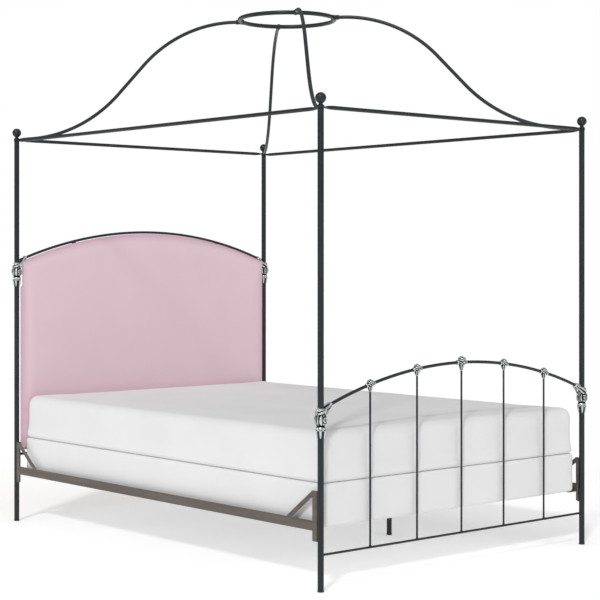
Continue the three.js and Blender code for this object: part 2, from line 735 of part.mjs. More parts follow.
// The panel's outline below the arch rail, inset on every side.
function panelOutline(inset, corner) {
  const half = HALF_X - POST_RADIUS - PAD_POST_GAP - inset;
  const low = PAD_BOTTOM + inset;
  const radius = ARCH_RADIUS - ARCH_ROD_RADIUS - PAD_RAIL_GAP - inset;
  const centre = HEAD_ARCH_TOP - ARCH_RADIUS;
  const swing = Math.asin(half / radius);
  const shape = new THREE.Shape();
  shape.moveTo(-half, low + corner);
  shape.absarc(-half + corner, low + corner, corner, Math.PI, 1.5 * Math.PI);
  shape.absarc(half - corner, low + corner, corner, 1.5 * Math.PI, 2 * Math.PI);
  shape.absarc(0, centre, radius, Math.PI / 2 - swing, Math.PI / 2 + swing);
  return shape;
}

// An upright slab with an outline in the XZ plane, from a front to a back Y plane. A bevel rounds its front
// edge inside that depth and its back edge beyond it.
function uprightSlab(shape, front, back, bevel) {
  const geometry = new THREE.ExtrudeGeometry(shape, {
    depth: back - front - bevel,
    bevelEnabled: bevel > 0,
    bevelThickness: bevel,
    bevelSize: bevel,
    bevelSegments: EDGE_STEPS,
    curveSegments: PANEL_STEPS,
  });
  geometry.rotateX(Math.PI / 2);
  geometry.translate(0, back, 0);
  return geometry;
}

// The room that the pad leaves round a head corner casting: its bulb and scroll, and its leaf.
function castingRoom(side) {
  const scrollReach = CASTING_SCROLL_OUT + CASTING_SCROLL_RADIUS;
  const round = Math.hypot(scrollReach, CASTING_SCROLL_HALF) + PAD_NOTCH_GAP;
  const knuckle = solid(drum(round, CASTING_BOTTOM - PAD_NOTCH_GAP, HEAD_CASTING_DROP, POST_SIDES));
  const [root, tip] = leafLine(HEAD_CASTING_DROP).map((point) => new THREE.Vector3(...point));
  const past = tip.clone().sub(root).setLength(PAD_NOTCH_GAP).add(tip);
  const leaf = solid(pin(CASTING_LEAF_RADIUS + PAD_NOTCH_GAP, root.toArray(), past.toArray(), ROD_SIDES));
  const room = join(knuckle, leaf).rotate([0, 0, side < 0 ? 0 : 180]);
  return room.translate([side * HALF_X, HALF_Y, castingHeight(HEAD_ARCH_TOP, HEAD_CASTING_DROP)]);
}

function addHeadboard() {
  const top = archHeight(HEAD_ARCH_TOP, PANEL_SCREW_X);
  const throughHole = (x) => solid(pin(
    holeFor(PANEL_SCREW_RADIUS), [x, -2 * ARCH_ROD_RADIUS, PANEL_SCREW_HEIGHT],
    [x, 2 * ARCH_ROD_RADIUS, PANEL_SCREW_HEIGHT], POST_SIDES));
  let arch = archRail(HEAD_ARCH_TOP, ARCH_ROD_RADIUS);
  let bottom = solid(pin(
    ARCH_ROD_RADIUS, [-ARCH_REACH, 0, HEAD_RAIL_HEIGHT], [ARCH_REACH, 0, HEAD_RAIL_HEIGHT], ROD_SIDES));
  for (const x of [-PANEL_SCREW_X, PANEL_SCREW_X]) {
    arch = cut(join(arch, lug(x, PANEL_SCREW_HEIGHT - LUG_TAIL, top)), throughHole(x));
    bottom = join(bottom, lug(x, HEAD_RAIL_HEIGHT, PAD_BOTTOM + BOARD_INSET + PANEL_SCREW_EDGE + LUG_TAIL));
  }
  addPiece('head_arch_rail', geometryOf(arch), iron()).position.y = HALF_Y;
  addPiece('head_bottom_rail', geometryOf(bottom), iron()).position.y = HALF_Y;
  addCornerCastings('head', HEAD_ARCH_TOP, HEAD_CASTING_DROP);

  let board = solid(uprightSlab(panelOutline(BOARD_INSET, BOARD_CORNER), BOARD_FRONT, BOARD_BACK, 0));
  const pocketShape = panelOutline(BOARD_INSET - FIT, BOARD_CORNER);
  const pocket = solid(uprightSlab(pocketShape, BOARD_FRONT - FIT, BOARD_BACK + FIT, 0));
  let pad = cut(padBlock(), pocket);
  for (const side of [-1, 1]) {
    pad = cut(pad, castingRoom(side));
    board = cut(board, throughHole(side * PANEL_SCREW_X).translate([0, BOARD_BACK, 0]));
  }
  addPiece('headboard_board', geometryOf(board), plywood());
  addPiece('headboard_pad', geometryOf(pad), pinkLinen());
  addPanelScrews();
}

// The padded panel before its pocket and notches are cut: rounded at the front, flat at the back.
function padBlock() {
  const rounded = solid(uprightSlab(panelOutline(PAD_EDGE, PAD_CORNER), PAD_FRONT, PAD_BACK, PAD_EDGE));
  const behind = box([-HALF_X, PAD_BACK, 0], [HALF_X, PAD_BACK + 2 * PAD_EDGE, HEAD_ARCH_TOP]);
  return cut(rounded, solid(behind));
}

function addPanelScrews() {
  const seat = ARCH_ROD_RADIUS + FIT;
  const screw = turned([
    [0, seat - PANEL_SCREW_BITE - LUG_THICKNESS],
    [PANEL_SCREW_RADIUS, seat - PANEL_SCREW_BITE - LUG_THICKNESS],
    [PANEL_SCREW_RADIUS, seat],
    [PANEL_SCREW_HEAD_RADIUS, seat],
    [PANEL_SCREW_HEAD_RADIUS - PANEL_SCREW_HEAD_TAPER, seat + PANEL_SCREW_HEAD_HEIGHT],
    [0, seat + PANEL_SCREW_HEAD_HEIGHT],
  ], SMALL_SIDES);
  screw.rotateX(-Math.PI / 2);
  for (const side of [-1, 1]) {
    const piece = addPiece(`panel_screw_${side < 0 ? 'left' : 'right'}`, screw.clone(), zinc());
    piece.position.set(side * PANEL_SCREW_X, HALF_Y, PANEL_SCREW_HEIGHT);
  }
}

// ---- side rails, bars and leg ----

// Height of a side rail's top edge and the place where a brace lands on it.
const RAIL_TOP = RAIL_BOTTOM + RAIL_HEIGHT;
const BRACE_FOOT = HALF_Y - BRACE_REACH;

// The upright web of a side rail as an outline of [along, height]: rail, two end plates and two braces.
function railWeb() {
  const outline = new THREE.Shape();
  outline.moveTo(-PLATE_FACE, PLATE_BOTTOM);
  outline.lineTo(-RAIL_END, PLATE_BOTTOM);
  outline.lineTo(-RAIL_END, RAIL_BOTTOM);
  outline.lineTo(RAIL_END, RAIL_BOTTOM);
  outline.lineTo(RAIL_END, PLATE_BOTTOM);
  outline.lineTo(PLATE_FACE, PLATE_BOTTOM);
  outline.lineTo(PLATE_FACE, PLATE_TOP);
  outline.lineTo(RAIL_END, PLATE_TOP);
  outline.lineTo(BRACE_FOOT, RAIL_TOP);
  outline.lineTo(-BRACE_FOOT, RAIL_TOP);
  outline.lineTo(-RAIL_END, PLATE_TOP);
  outline.lineTo(-PLATE_FACE, PLATE_TOP);
  return outline;
}

// The open triangle between rail, end plate and brace at one end.
function braceWindow(end) {
  const slope = Math.atan2(PLATE_TOP - RAIL_TOP, RAIL_END - BRACE_FOOT);
  const rise = BRACE_WIDTH / Math.cos(slope);
  const toe = BRACE_FOOT + BRACE_WIDTH / Math.sin(slope);
  const window = new THREE.Shape();
  window.moveTo(end * toe, RAIL_TOP);
  window.lineTo(end * RAIL_END, RAIL_TOP);
  window.lineTo(end * RAIL_END, PLATE_TOP - rise);
  return window;
}

// An outline of [along, height] as an upright sheet in the plane of the left side rail's web.
function webSheet(outline, thickness) {
  const sheet = new THREE.ExtrudeGeometry(outline, { depth: thickness, bevelEnabled: false });
  sheet.translate(0, 0, (STEEL - thickness) / 2);
  sheet.rotateX(Math.PI / 2);
  sheet.rotateZ(Math.PI / 2);
  sheet.translate(-RAIL_OUTER, 0, 0);
  return solid(sheet);
}

// A side rail for x < 0: angle iron with a flange under the box spring, end plates and braces.
function sideRail() {
  const windows = [-1, 1].map((end) => webSheet(braceWindow(end), 2 * STEEL));
  const web = cut(webSheet(railWeb(), STEEL), ...windows);
  const flange = box(
    [-RAIL_OUTER + STEEL / 2, -RAIL_END, RAIL_BOTTOM], [-RAIL_OUTER + RAIL_FLANGE, RAIL_END, RAIL_BOTTOM + STEEL]);
  let rail = join(web, solid(flange));
  const z = PLATE_BOTTOM + RAIL_BOLT_RISE;
  for (const end of [-1, 1]) {
    const near = end * (PLATE_FACE - STEEL);
    const far = end * PLATE_FACE;
    const inside = -HALF_X + POST_RADIUS;
    const plate = box(
      [-RAIL_OUTER + STEEL / 2, Math.min(near, far), PLATE_BOTTOM], [inside, Math.max(near, far), PLATE_TOP]);
    const hole = pin(
      holeFor(RAIL_BOLT_RADIUS), [-HALF_X, end * (PLATE_FACE - 2 * STEEL), z], [-HALF_X, end * HALF_Y, z],
      POST_SIDES);
    rail = cut(join(rail, solid(plate)), solid(hole));
  }
  return rail;
}

function addSideRails() {
  const rail = geometryOf(sideRail());
  addPiece('side_rail_left', rail, railPaint());
  addPiece('side_rail_right', rail.clone(), railPaint()).rotation.z = Math.PI;
  for (const corner of CORNERS) {
    const seat = POST_RADIUS + FIT + STEEL + FIT;
    const reach = STEEL + 2 * FIT + RAIL_BOLT_BITE;
    const bolt = turned([
      [0, -RAIL_BOLT_HEAD],
      [RAIL_BOLT_HEAD_RADIUS - RAIL_BOLT_CHAMFER, -RAIL_BOLT_HEAD],
      [RAIL_BOLT_HEAD_RADIUS, RAIL_BOLT_CHAMFER - RAIL_BOLT_HEAD],
      [RAIL_BOLT_HEAD_RADIUS, 0],
      [RAIL_BOLT_RADIUS, 0],
      [RAIL_BOLT_RADIUS, reach],
      [0, reach],
    ], SMALL_SIDES);
    bolt.rotateX(-corner.y * Math.PI / 2);
    const piece = addPiece(`rail_bolt_${corner.tag}`, bolt, zinc());
    piece.position.set(
      corner.x * HALF_X, corner.y * (HALF_Y - seat), PLATE_BOTTOM + RAIL_BOLT_RISE);
  }
}

// An angle iron cross bar that lies on both rail flanges, its upright leg notched back at the ends.
function crossBar() {
  const half = RAIL_OUTER - STEEL - 2 * FIT;
  const tread = box(
    [-half, -CROSS_BAR_WIDTH / 2, CROSS_BAR_BASE], [half, CROSS_BAR_WIDTH / 2, CROSS_BAR_BASE + STEEL]);
  const back = CROSS_BAR_WIDTH / 2;
  const leg = box(
    [-half + CROSS_BAR_NOTCH, back - STEEL, CROSS_BAR_BASE - CROSS_BAR_DEPTH + STEEL],
    [half - CROSS_BAR_NOTCH, back, CROSS_BAR_BASE + STEEL / 2]);
  return geometryOf(join(solid(tread), solid(leg)));
}

function addCrossBars() {
  for (let index = 0; index < CROSS_BAR_COUNT; index += 1) {
    const y = -HALF_Y + CROSS_BAR_FIRST + index * CROSS_BAR_PITCH;
    addPiece(`cross_bar_${index + 1}`, crossBar(), railPaint()).position.y = y;
  }
  const legY = -HALF_Y + CROSS_BAR_FIRST - STEEL;
  const legTop = CROSS_BAR_BASE - FIT;
  const legBottom = LEVELLER_PAD_HEIGHT + FIT;
  const leg = turned([
    [0, legBottom + LEG_SEAT_DEPTH],
    [LEG_BORE, legBottom + LEG_SEAT_DEPTH],
    [LEG_BORE, legBottom],
    [LEG_RADIUS, legBottom],
    [LEG_RADIUS, legTop],
    [0, legTop],
  ], POST_SIDES);
  addPiece('support_leg', leg, iron()).position.set(LEG_X, legY, 0);
  const leveller = turned([
    [0, 0],
    [LEVELLER_PAD_RADIUS, 0],
    [LEVELLER_PAD_RADIUS, LEVELLER_PAD_HEIGHT],
    [LEVELLER_STUD_RADIUS, LEVELLER_PAD_HEIGHT],
    [LEVELLER_STUD_RADIUS, LEVELLER_STUD_LENGTH],
    [0, LEVELLER_STUD_LENGTH],
  ], POST_SIDES);
  addPiece('support_leg_leveller', leveller, plastic()).position.set(LEG_X, legY, 0);
}

// ---- bedding ----

function addBedding() {
  const half = MATTRESS_WIDTH / 2;
  const boxSpring = cushionBlock(
    half, MATTRESS_FOOT, MATTRESS_HEAD, BOX_SPRING_BASE, BOX_SPRING_HEIGHT, BOX_SPRING_CORNER, BOX_SPRING_EDGE);
  addPiece('box_spring', boxSpring, whiteTicking());
  const mattress = cushionBlock(
    half, MATTRESS_FOOT, MATTRESS_HEAD, MATTRESS_BASE, MATTRESS_HEIGHT, MATTRESS_CORNER, MATTRESS_EDGE);
  addPiece('mattress', mattress, whiteTicking());
}

addPosts();
addCanopyRails();
addCanopyTop();
addHeadboard();
addFootboard();
addSideRails();
addCrossBars();
addBedding();

export default group;
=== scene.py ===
# Looks of the four poster canopy bed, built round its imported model: smooth ironwork, sculpted castings, and a
# mattress, box spring and headboard pad swelled by a capped cloth simulation. Metres, in the model's own frame,
# head end towards +Y.
import math

import bmesh
import bpy
import numpy as np
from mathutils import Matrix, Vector, noise


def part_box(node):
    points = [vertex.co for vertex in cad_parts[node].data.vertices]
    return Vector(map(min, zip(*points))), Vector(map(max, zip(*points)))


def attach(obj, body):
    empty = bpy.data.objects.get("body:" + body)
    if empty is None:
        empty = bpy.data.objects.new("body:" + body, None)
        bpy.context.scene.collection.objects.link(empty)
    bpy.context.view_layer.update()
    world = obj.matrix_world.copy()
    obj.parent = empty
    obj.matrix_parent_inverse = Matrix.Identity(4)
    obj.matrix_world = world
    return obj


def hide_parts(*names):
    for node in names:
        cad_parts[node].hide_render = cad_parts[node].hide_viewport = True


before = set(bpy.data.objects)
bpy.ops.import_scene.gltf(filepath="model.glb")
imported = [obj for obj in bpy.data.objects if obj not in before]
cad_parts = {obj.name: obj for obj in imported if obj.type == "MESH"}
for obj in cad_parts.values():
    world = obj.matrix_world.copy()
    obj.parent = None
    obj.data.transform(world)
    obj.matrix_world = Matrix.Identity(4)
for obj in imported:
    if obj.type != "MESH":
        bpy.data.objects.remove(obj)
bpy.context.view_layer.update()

MM = 0.001
TAU = 2 * math.pi

# Ironwork, as in the model
ROD_RADIUS = 7.95 * MM
ARCH_ROD_RADIUS = 6.35 * MM
ARCH_RADIUS = 2.140
EYELET_RADIUS = 14 * MM
EYELET_HALF = 2 * MM
EYELET_HOLE = 4.4 * MM
TAPER_START = 18 * MM
TAPER_END = 66 * MM
RING_TUBE = 9.5 * MM
RING_JOINT_ANGLE = math.radians(31.5)
BOSS_RADIUS = 11.5 * MM
BOSS_LENGTH = 27 * MM
BOSS_KNOB = 12.5 * MM
ARM_SLOPE = math.radians(47)
ARM_LOWER_SHARE = 0.52
ARM_STRAIGHT_FOOT = 40 * MM
ARM_STRAIGHT_TOP = 30 * MM
ARM_SEAT = 11.5 * MM
POST_BORE = 9.8 * MM
SPIGOT_LENGTH = 60 * MM
POST_CAP = 12 * MM
STUD_RADIUS = 4 * MM
CASTING_LEAF_REACH = 50 * MM
HEAD_CASTING_DROP = 62.5 * MM
FOOT_CASTING_DROP = 50.5 * MM
PAD_RAIL_GAP = 2 * MM
FIT = 0.3 * MM

# Fineness of the made surfaces
POST_SEGMENTS = 48
ROD_SEGMENTS = 28
SMALL_SEGMENTS = 20
ARM_STEPS = 120
ARCH_STEPS = 96
RING_STEPS = 160
CASTING_VOXEL = 1.0 * MM
SPINDLE_CASTING_VOXEL = 0.8 * MM

# Soft goods
MATTRESS_CORNER = 42 * MM
MATTRESS_TOP_EDGE = 44 * MM
MATTRESS_BOTTOM_EDGE = 20 * MM
BOX_SPRING_CORNER = 36 * MM
BOX_SPRING_EDGE = 15 * MM
PAD_CORNER = 14 * MM
PAD_FRONT_EDGE = 13 * MM
PAD_BACK_EDGE = 4 * MM
PAD_TOP_GAP = 0.6 * MM
PAD_SWELL = 4.4 * MM
SIM_FRAMES = 20
MATTRESS_PRESSURE = 2.5
MATTRESS_CAP = 9 * MM
BOX_SPRING_PRESSURE = 2.0
BOX_SPRING_CAP = 3 * MM
PAD_PRESSURE = 3.0
CASTING_ROOM = 29 * MM
LEAF_ROOM = 12 * MM


# ---- the camera, which sees the bed from its left foot corner ----

CAMERA_PLACE = (-4.82085, -5.40847, 1.23990)
CAMERA_AZIMUTH = -40.009
CAMERA_LENS = 94.894
CAMERA_SHIFT = (0.1, -0.064736)


def add_camera():
    data = bpy.data.cameras.new("camera")
    data.sensor_width = 36
    data.lens = CAMERA_LENS
    data.shift_x, data.shift_y = CAMERA_SHIFT
    camera = bpy.data.objects.new("camera", data)
    camera.location = CAMERA_PLACE
    camera.rotation_euler = (math.pi / 2, 0, math.radians(CAMERA_AZIMUTH))
    bpy.context.scene.collection.objects.link(camera)
    bpy.context.scene.camera = camera


# ---- shapes: a shape is (points, faces), an N by 3 array and a list of index tuples ----

def merged(*shapes):
    """Several shapes as one, each keeping its own surface."""
    points = []
    faces = []
    count = 0
    for shape_points, shape_faces in shapes:
        points.append(np.asarray(shape_points, float))
        faces += [tuple(index + count for index in face) for face in shape_faces]
        count += len(shape_points)
    return np.vstack(points), faces


def moved(shape, by):
    return np.asarray(shape[0]) + np.asarray(by, float), shape[1]


def mirrored(shape, axis):
    """The shape mirrored along x (0) or y (1), its faces still pointing out."""
    points = np.array(shape[0], float)
    points[:, axis] *= -1
    return points, [tuple(reversed(face)) for face in shape[1]]


def loft(rings, closed=False):
    """A skin over rings of equal length, capped at both ends unless it closes on itself."""
    points = np.vstack(rings)
    size = len(rings[0])
    spans = len(rings) if closed else len(rings) - 1
    faces = []
    for row in range(spans):
        here = row * size
        there = (row + 1) % len(rings) * size
        for k in range(size):
            after = (k + 1) % size
            faces.append((here + k, here + after, there + after, there + k))
    if not closed:
        faces.append(tuple(reversed(range(size))))
        faces.append(tuple(range((len(rings) - 1) * size, len(rings) * size)))
    return points, faces


def lathe(profile, segments=POST_SEGMENTS, lobes=0, depth=0.0):
    """A solid of revolution about z from [radius, height] points that go up its outside.
    Lobes ripple the radius round the axis, by depth as a share of the radius."""
    angles = np.arange(segments) * TAU / segments
    ripple = 1 + depth * (np.abs(np.cos(angles * lobes / 2)) - 1) if lobes else np.ones(segments)
    rings = []
    for radius, height in profile:
        reach = max(radius, 1e-5) * ripple
        ring = np.stack([reach * np.cos(angles), reach * np.sin(angles), np.full(segments, height)], 1)
        rings.append(ring)
    return loft(rings)


def tube(profile, bore, segments=POST_SEGMENTS):
    """A lathed tube: the outside profile goes up, and the bore profile comes back down inside it."""
    angles = np.arange(segments) * TAU / segments
    rings = []
    for radius, height in profile + bore:
        rings.append(np.stack([radius * np.cos(angles), radius * np.sin(angles), np.full(segments, height)], 1))
    return loft(rings, closed=True)


def section(width, height, power, segments):
    """A round or flattened cross section: power 2 is an ellipse, and more is squarer."""
    angles = np.arange(segments) * TAU / segments
    cosine = np.cos(angles)
    sine = np.sin(angles)
    across = width * np.sign(cosine) * np.abs(cosine) ** (2 / power)
    up = height * np.sign(sine) * np.abs(sine) ** (2 / power)
    return across, up


def sweep(path, side, sections, closed=False):
    """Sections carried along a path that lies in a plane. Side is that plane's normal."""
    path = np.asarray(path, float)
    side = np.asarray(side, float)
    if closed:
        tangents = np.roll(path, -1, 0) - np.roll(path, 1, 0)
    else:
        tangents = np.gradient(path, axis=0)
    tangents /= np.linalg.norm(tangents, axis=1)[:, None]
    rings = []
    for point, tangent, (across, up) in zip(path, tangents, sections):
        lift = np.cross(tangent, side)
        rings.append(point + across[:, None] * side + up[:, None] * lift)
    return loft(rings, closed)


def rod(path, side, radius, segments=ROD_SEGMENTS, closed=False):
    """A round rod along a path in a plane, its radius one number or one for each point."""
    radii = np.broadcast_to(radius, len(path))
    return sweep(path, side, [section(r, r, 2, segments) for r in radii], closed)


def ball(radius, centre, squash=(1, 1, 1), segments=16):
    angles = np.linspace(0, math.pi, segments // 2 + 1)
    points, faces = lathe([(math.sin(a), -math.cos(a)) for a in angles], segments)
    return points * radius * np.asarray(squash, float) + np.asarray(centre, float), faces


def smooth_path(points, steps):
    """A Catmull-Rom curve through the points."""
    points = np.asarray(points, float)
    padded = np.vstack([2 * points[0] - points[1], points, 2 * points[-1] - points[-2]])
    spans = len(points) - 1
    out = []
    for t in np.linspace(0, spans, steps):
        k = min(int(t), spans - 1)
        u = t - k
        a, b, c, d = padded[k:k + 4]
        out.append(0.5 * (2 * b + (c - a) * u + (2 * a - 5 * b + 4 * c - d) * u ** 2
                          + (3 * b - a - 3 * c + d) * u ** 3))
    return np.array(out)


def free_rod(points, radii, steps=24, segments=12):
    """A rod with a round section along a curve through points, with its radius running through radii."""
    path = smooth_path(points, steps)
    widths = np.interp(np.linspace(0, 1, steps), np.linspace(0, 1, len(radii)), radii)
    tangents = np.gradient(path, axis=0)
    tangents /= np.linalg.norm(tangents, axis=1)[:, None]
    side = np.cross(tangents[0], [0.31, 0.87, 0.38])
    rings = []
    angles = np.arange(segments) * TAU / segments
    for point, tangent, width in zip(path, tangents, widths):
        side = side - tangent * (side @ tangent)
        side /= np.linalg.norm(side)
        lift = np.cross(tangent, side)
        rings.append(point + width * (np.cos(angles)[:, None] * side + np.sin(angles)[:, None] * lift))
    return loft(rings)


# ---- objects ----

def link(name, mesh):
    piece = bpy.data.objects.new(name, mesh)
    bpy.context.scene.collection.objects.link(piece)
    return piece


def mesh_of(shape, name="shape"):
    mesh = bpy.data.meshes.new(name)
    mesh.from_pydata([tuple(point) for point in shape[0]], [], shape[1])
    tidy = bmesh.new()
    tidy.from_mesh(mesh)
    bmesh.ops.remove_doubles(tidy, verts=tidy.verts, dist=1e-6)
    bmesh.ops.recalc_face_normals(tidy, faces=tidy.faces)
    tidy.to_mesh(mesh)
    tidy.free()
    return mesh


def applied(piece):
    """Turns a piece's modifiers into its own mesh."""
    seen = piece.evaluated_get(bpy.context.evaluated_depsgraph_get())
    mesh = bpy.data.meshes.new_from_object(seen)
    piece.modifiers.clear()
    piece.data = mesh
    return piece


def cut(piece, *shapes):
    """Cuts closed shapes out of a piece."""
    for shape in shapes:
        cutter = link("cutter", mesh_of(shape))
        step = piece.modifiers.new("cut", "BOOLEAN")
        step.operation = "DIFFERENCE"
        step.solver = "MANIFOLD"
        step.object = cutter
        applied(piece)
        bpy.data.objects.remove(cutter)
    return piece


def united(name, *shapes):
    """Closed shapes joined into one skin."""
    piece = link(name, mesh_of(shapes[0]))
    for shape in shapes[1:]:
        other = link("other", mesh_of(shape))
        step = piece.modifiers.new("join", "BOOLEAN")
        step.operation = "UNION"
        step.solver = "MANIFOLD"
        step.object = other
        applied(piece)
        bpy.data.objects.remove(other)
    return piece


def cast(name, shape, voxel, rounds=3):
    """A shape as one cast skin: remeshed, so that its pieces flow together, and smoothed."""
    piece = link(name, mesh_of(shape))
    skin = piece.modifiers.new("skin", "REMESH")
    skin.mode = "VOXEL"
    skin.voxel_size = voxel
    soften = piece.modifiers.new("soften", "SMOOTH")
    soften.iterations = rounds
    soften.factor = 0.5
    return applied(piece)


def shade(piece, sharp=40):
    """Smooth shading with an edge wherever two faces meet at more than the sharp angle."""
    mesh = piece.data
    mesh.polygons.foreach_set("use_smooth", [True] * len(mesh.polygons))
    mesh.set_sharp_from_angle(angle=math.radians(sharp))
    mesh.update()


def place(piece, material, slot, body, *nodes, sharp=40):
    """Gives a finished piece its material and smooth shading, sets it under its body, and hides the model nodes that
    it stands for. The slot is not used.
    """
    piece.data.materials.clear()
    piece.data.materials.append(material)
    shade(piece, sharp)
    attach(piece, body)
    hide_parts(*nodes)
    return piece


def centre_of(node_name):
    low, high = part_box(node_name)
    return (low + high) / 2


def size_of(node_name):
    low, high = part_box(node_name)
    return high - low


# ---- materials ----

def node(tree, kind, settings=None, **sockets):
    """A shader node, its settings and its input sockets, each of them a value or another node's output."""
    made = tree.nodes.new(kind)
    for key, value in (settings or {}).items():
        setattr(made, key, value)
    for key, value in sockets.items():
        socket = made.inputs[int(key[1:])] if key[0] == "i" and key[1:].isdigit() else made.inputs[key]
        if isinstance(value, bpy.types.NodeSocket):
            tree.links.new(value, socket)
        else:
            socket.default_value = value
    return made


def ramp(tree, value, stops):
    """A colour ramp through [position, colour] stops."""
    made = node(tree, "ShaderNodeValToRGB", i0=value)
    band = made.color_ramp.elements
    while len(band) < len(stops):
        band.new(0.5)
    for element, (position, colour) in zip(band, stops):
        element.position = position
        element.color = (*colour, 1)
    return made.outputs[0]


def grey(value):
    return (value, value, value)


def new_material(name, base_roughness, metallic, **surface):
    """A Principled material whose number sockets are set on the shader itself."""
    material = bpy.data.materials.new(name)
    material.use_nodes = True
    tree = material.node_tree
    shader = tree.nodes["Principled BSDF"]
    shader.inputs["Roughness"].default_value = base_roughness
    shader.inputs["Metallic"].default_value = metallic
    for key, value in surface.items():
        shader.inputs[key.replace("_", " ")].default_value = value
    where = node(tree, "ShaderNodeTexCoord").outputs["Object"]
    return material, tree, shader, where


def speckle(tree, where, scale, detail=2.0, roughness=0.5, stretch=(1, 1, 1)):
    """A noise value from 0 to 1, scale features to the metre."""
    at = node(tree, "ShaderNodeMapping", i0=where, i3=stretch).outputs[0]
    return node(tree, "ShaderNodeTexNoise", i0=at, Scale=scale, Detail=detail, Roughness=roughness).outputs[0]


def bump(tree, height, strength, distance, below=None):
    sockets = {"Height": height, "Strength": strength, "Distance": distance}
    if below is not None:
        sockets["Normal"] = below
    return node(tree, "ShaderNodeBump", **sockets).outputs[0]


def maths(tree, operation, a, b=0.0, c=0.0):
    return node(tree, "ShaderNodeMath", {"operation": operation}, i0=a, i1=b, i2=c).outputs[0]


def blended(tree, share, first, second):
    """Two colours mixed by a share."""
    mix = node(tree, "ShaderNodeMix", {"data_type": "RGBA"}, i0=share)
    for index, colour in ((6, first), (7, second)):
        if isinstance(colour, bpy.types.NodeSocket):
            tree.links.new(colour, mix.inputs[index])
        else:
            mix.inputs[index].default_value = (*colour, 1)
    return mix.outputs[2]


def iron_material():
    """Near-black satin powder coat with a faint blue cast, an orange-peel skin and rubbed patches."""
    material, tree, shader, where = new_material("iron", 0.4, 0.0, Specular_IOR_Level=0.42)
    clouds = speckle(tree, where, 9, 4)
    grain = speckle(tree, where, 700, 3)
    peel = speckle(tree, where, 260, 1)
    colour = ramp(tree, clouds, [(0.3, (0.0045, 0.0080, 0.0098)), (0.7, (0.0100, 0.0165, 0.0198))])
    rubbed = ramp(tree, speckle(tree, where, 46, 5, 0.7), [(0.62, grey(0)), (0.74, grey(1))])
    colour = blended(tree, maths(tree, "MULTIPLY", rubbed, 0.5), colour, (0.024, 0.028, 0.031))
    colour = blended(tree, maths(tree, "MULTIPLY", grain, 0.25), colour, (0.012, 0.015, 0.017))
    tree.links.new(colour, shader.inputs["Base Color"])
    gloss = maths(tree, "MULTIPLY_ADD", speckle(tree, where, 30, 4), 0.22, 0.26)
    tree.links.new(gloss, shader.inputs["Roughness"])
    skin = bump(tree, peel, 0.2, 0.2 * MM)
    tree.links.new(bump(tree, grain, 0.12, 0.06 * MM, skin), shader.inputs["Normal"])
    return material


def pewter_material():
    """Antique cast metal: black patina in the recesses, silver where it is rubbed, over a sand-cast skin."""
    material, tree, shader, where = new_material("pewter", 0.34, 0.85)
    hollow = node(tree, "ShaderNodeAttribute", {"attribute_name": "cavity"}).outputs["Fac"]
    stain = speckle(tree, where, 120, 5, 0.65)
    depth = maths(tree, "MULTIPLY_ADD", maths(tree, "SUBTRACT", stain, 0.5), 0.40, hollow)
    stops = [(0.22, (0.62, 0.66, 0.65)), (0.37, (0.27, 0.30, 0.295)), (0.50, (0.050, 0.058, 0.058)),
             (0.61, (0.005, 0.006, 0.007))]
    tree.links.new(ramp(tree, depth, stops), shader.inputs["Base Color"])
    dull = maths(tree, "MULTIPLY_ADD", depth, 0.45, 0.10)
    tree.links.new(maths(tree, "MAXIMUM", dull, 0.20), shader.inputs["Roughness"])
    sand = speckle(tree, where, 900, 3)
    skin = bump(tree, sand, 0.35, 0.12 * MM)
    tree.links.new(bump(tree, speckle(tree, where, 220, 2), 0.3, 0.3 * MM, skin), shader.inputs["Normal"])
    return material


def rail_material():
    """Taupe-brown paint on hot-rolled steel: mill streaks along the length, mottling and darker chips."""
    material, tree, shader, where = new_material("rail_paint", 0.5, 0.0, Specular_IOR_Level=0.45)
    streaks = speckle(tree, where, 60, 4, 0.6, (1, 0.03, 1))
    mottle = speckle(tree, where, 22, 5, 0.65)
    colour = ramp(tree, streaks, [(0.3, (0.082, 0.067, 0.058)), (0.7, (0.150, 0.125, 0.110))])
    colour = blended(tree, maths(tree, "MULTIPLY", mottle, 0.5), colour, (0.105, 0.082, 0.068))
    chips = ramp(tree, speckle(tree, where, 130, 6, 0.8), [(0.66, grey(0)), (0.72, grey(1))])
    colour = blended(tree, maths(tree, "MULTIPLY", chips, 0.7), colour, (0.022, 0.018, 0.016))
    tree.links.new(colour, shader.inputs["Base Color"])
    tree.links.new(maths(tree, "MULTIPLY_ADD", mottle, 0.3, 0.34), shader.inputs["Roughness"])
    skin = bump(tree, streaks, 0.25, 0.3 * MM)
    tree.links.new(bump(tree, speckle(tree, where, 600, 3), 0.2, 0.1 * MM, skin), shader.inputs["Normal"])
    return material


def zinc_material():
    """Zinc-plated steel with fine turning marks and dull patches."""
    material, tree, shader, where = new_material("zinc", 0.35, 1.0)
    patches = speckle(tree, where, 300, 4)
    colour = ramp(tree, patches, [(0.3, (0.30, 0.30, 0.29)), (0.7, (0.52, 0.52, 0.50))])
    tree.links.new(colour, shader.inputs["Base Color"])
    tree.links.new(maths(tree, "MULTIPLY_ADD", patches, 0.3, 0.22), shader.inputs["Roughness"])
    marks = speckle(tree, where, 1500, 2, 0.5, (1, 6, 1))
    tree.links.new(bump(tree, marks, 0.3, 0.05 * MM), shader.inputs["Normal"])
    return material


def plastic_material():
    """Moulded black plastic with a fine eroded texture and floor scuffs."""
    material, tree, shader, where = new_material("black_plastic", 0.55, 0.0)
    scuffs = speckle(tree, where, 120, 5, 0.7)
    colour = ramp(tree, scuffs, [(0.4, (0.010, 0.010, 0.011)), (0.75, (0.035, 0.034, 0.033))])
    tree.links.new(colour, shader.inputs["Base Color"])
    tree.links.new(maths(tree, "MULTIPLY_ADD", scuffs, 0.3, 0.40), shader.inputs["Roughness"])
    tree.links.new(bump(tree, speckle(tree, where, 1600, 2), 0.4, 0.06 * MM), shader.inputs["Normal"])
    return material


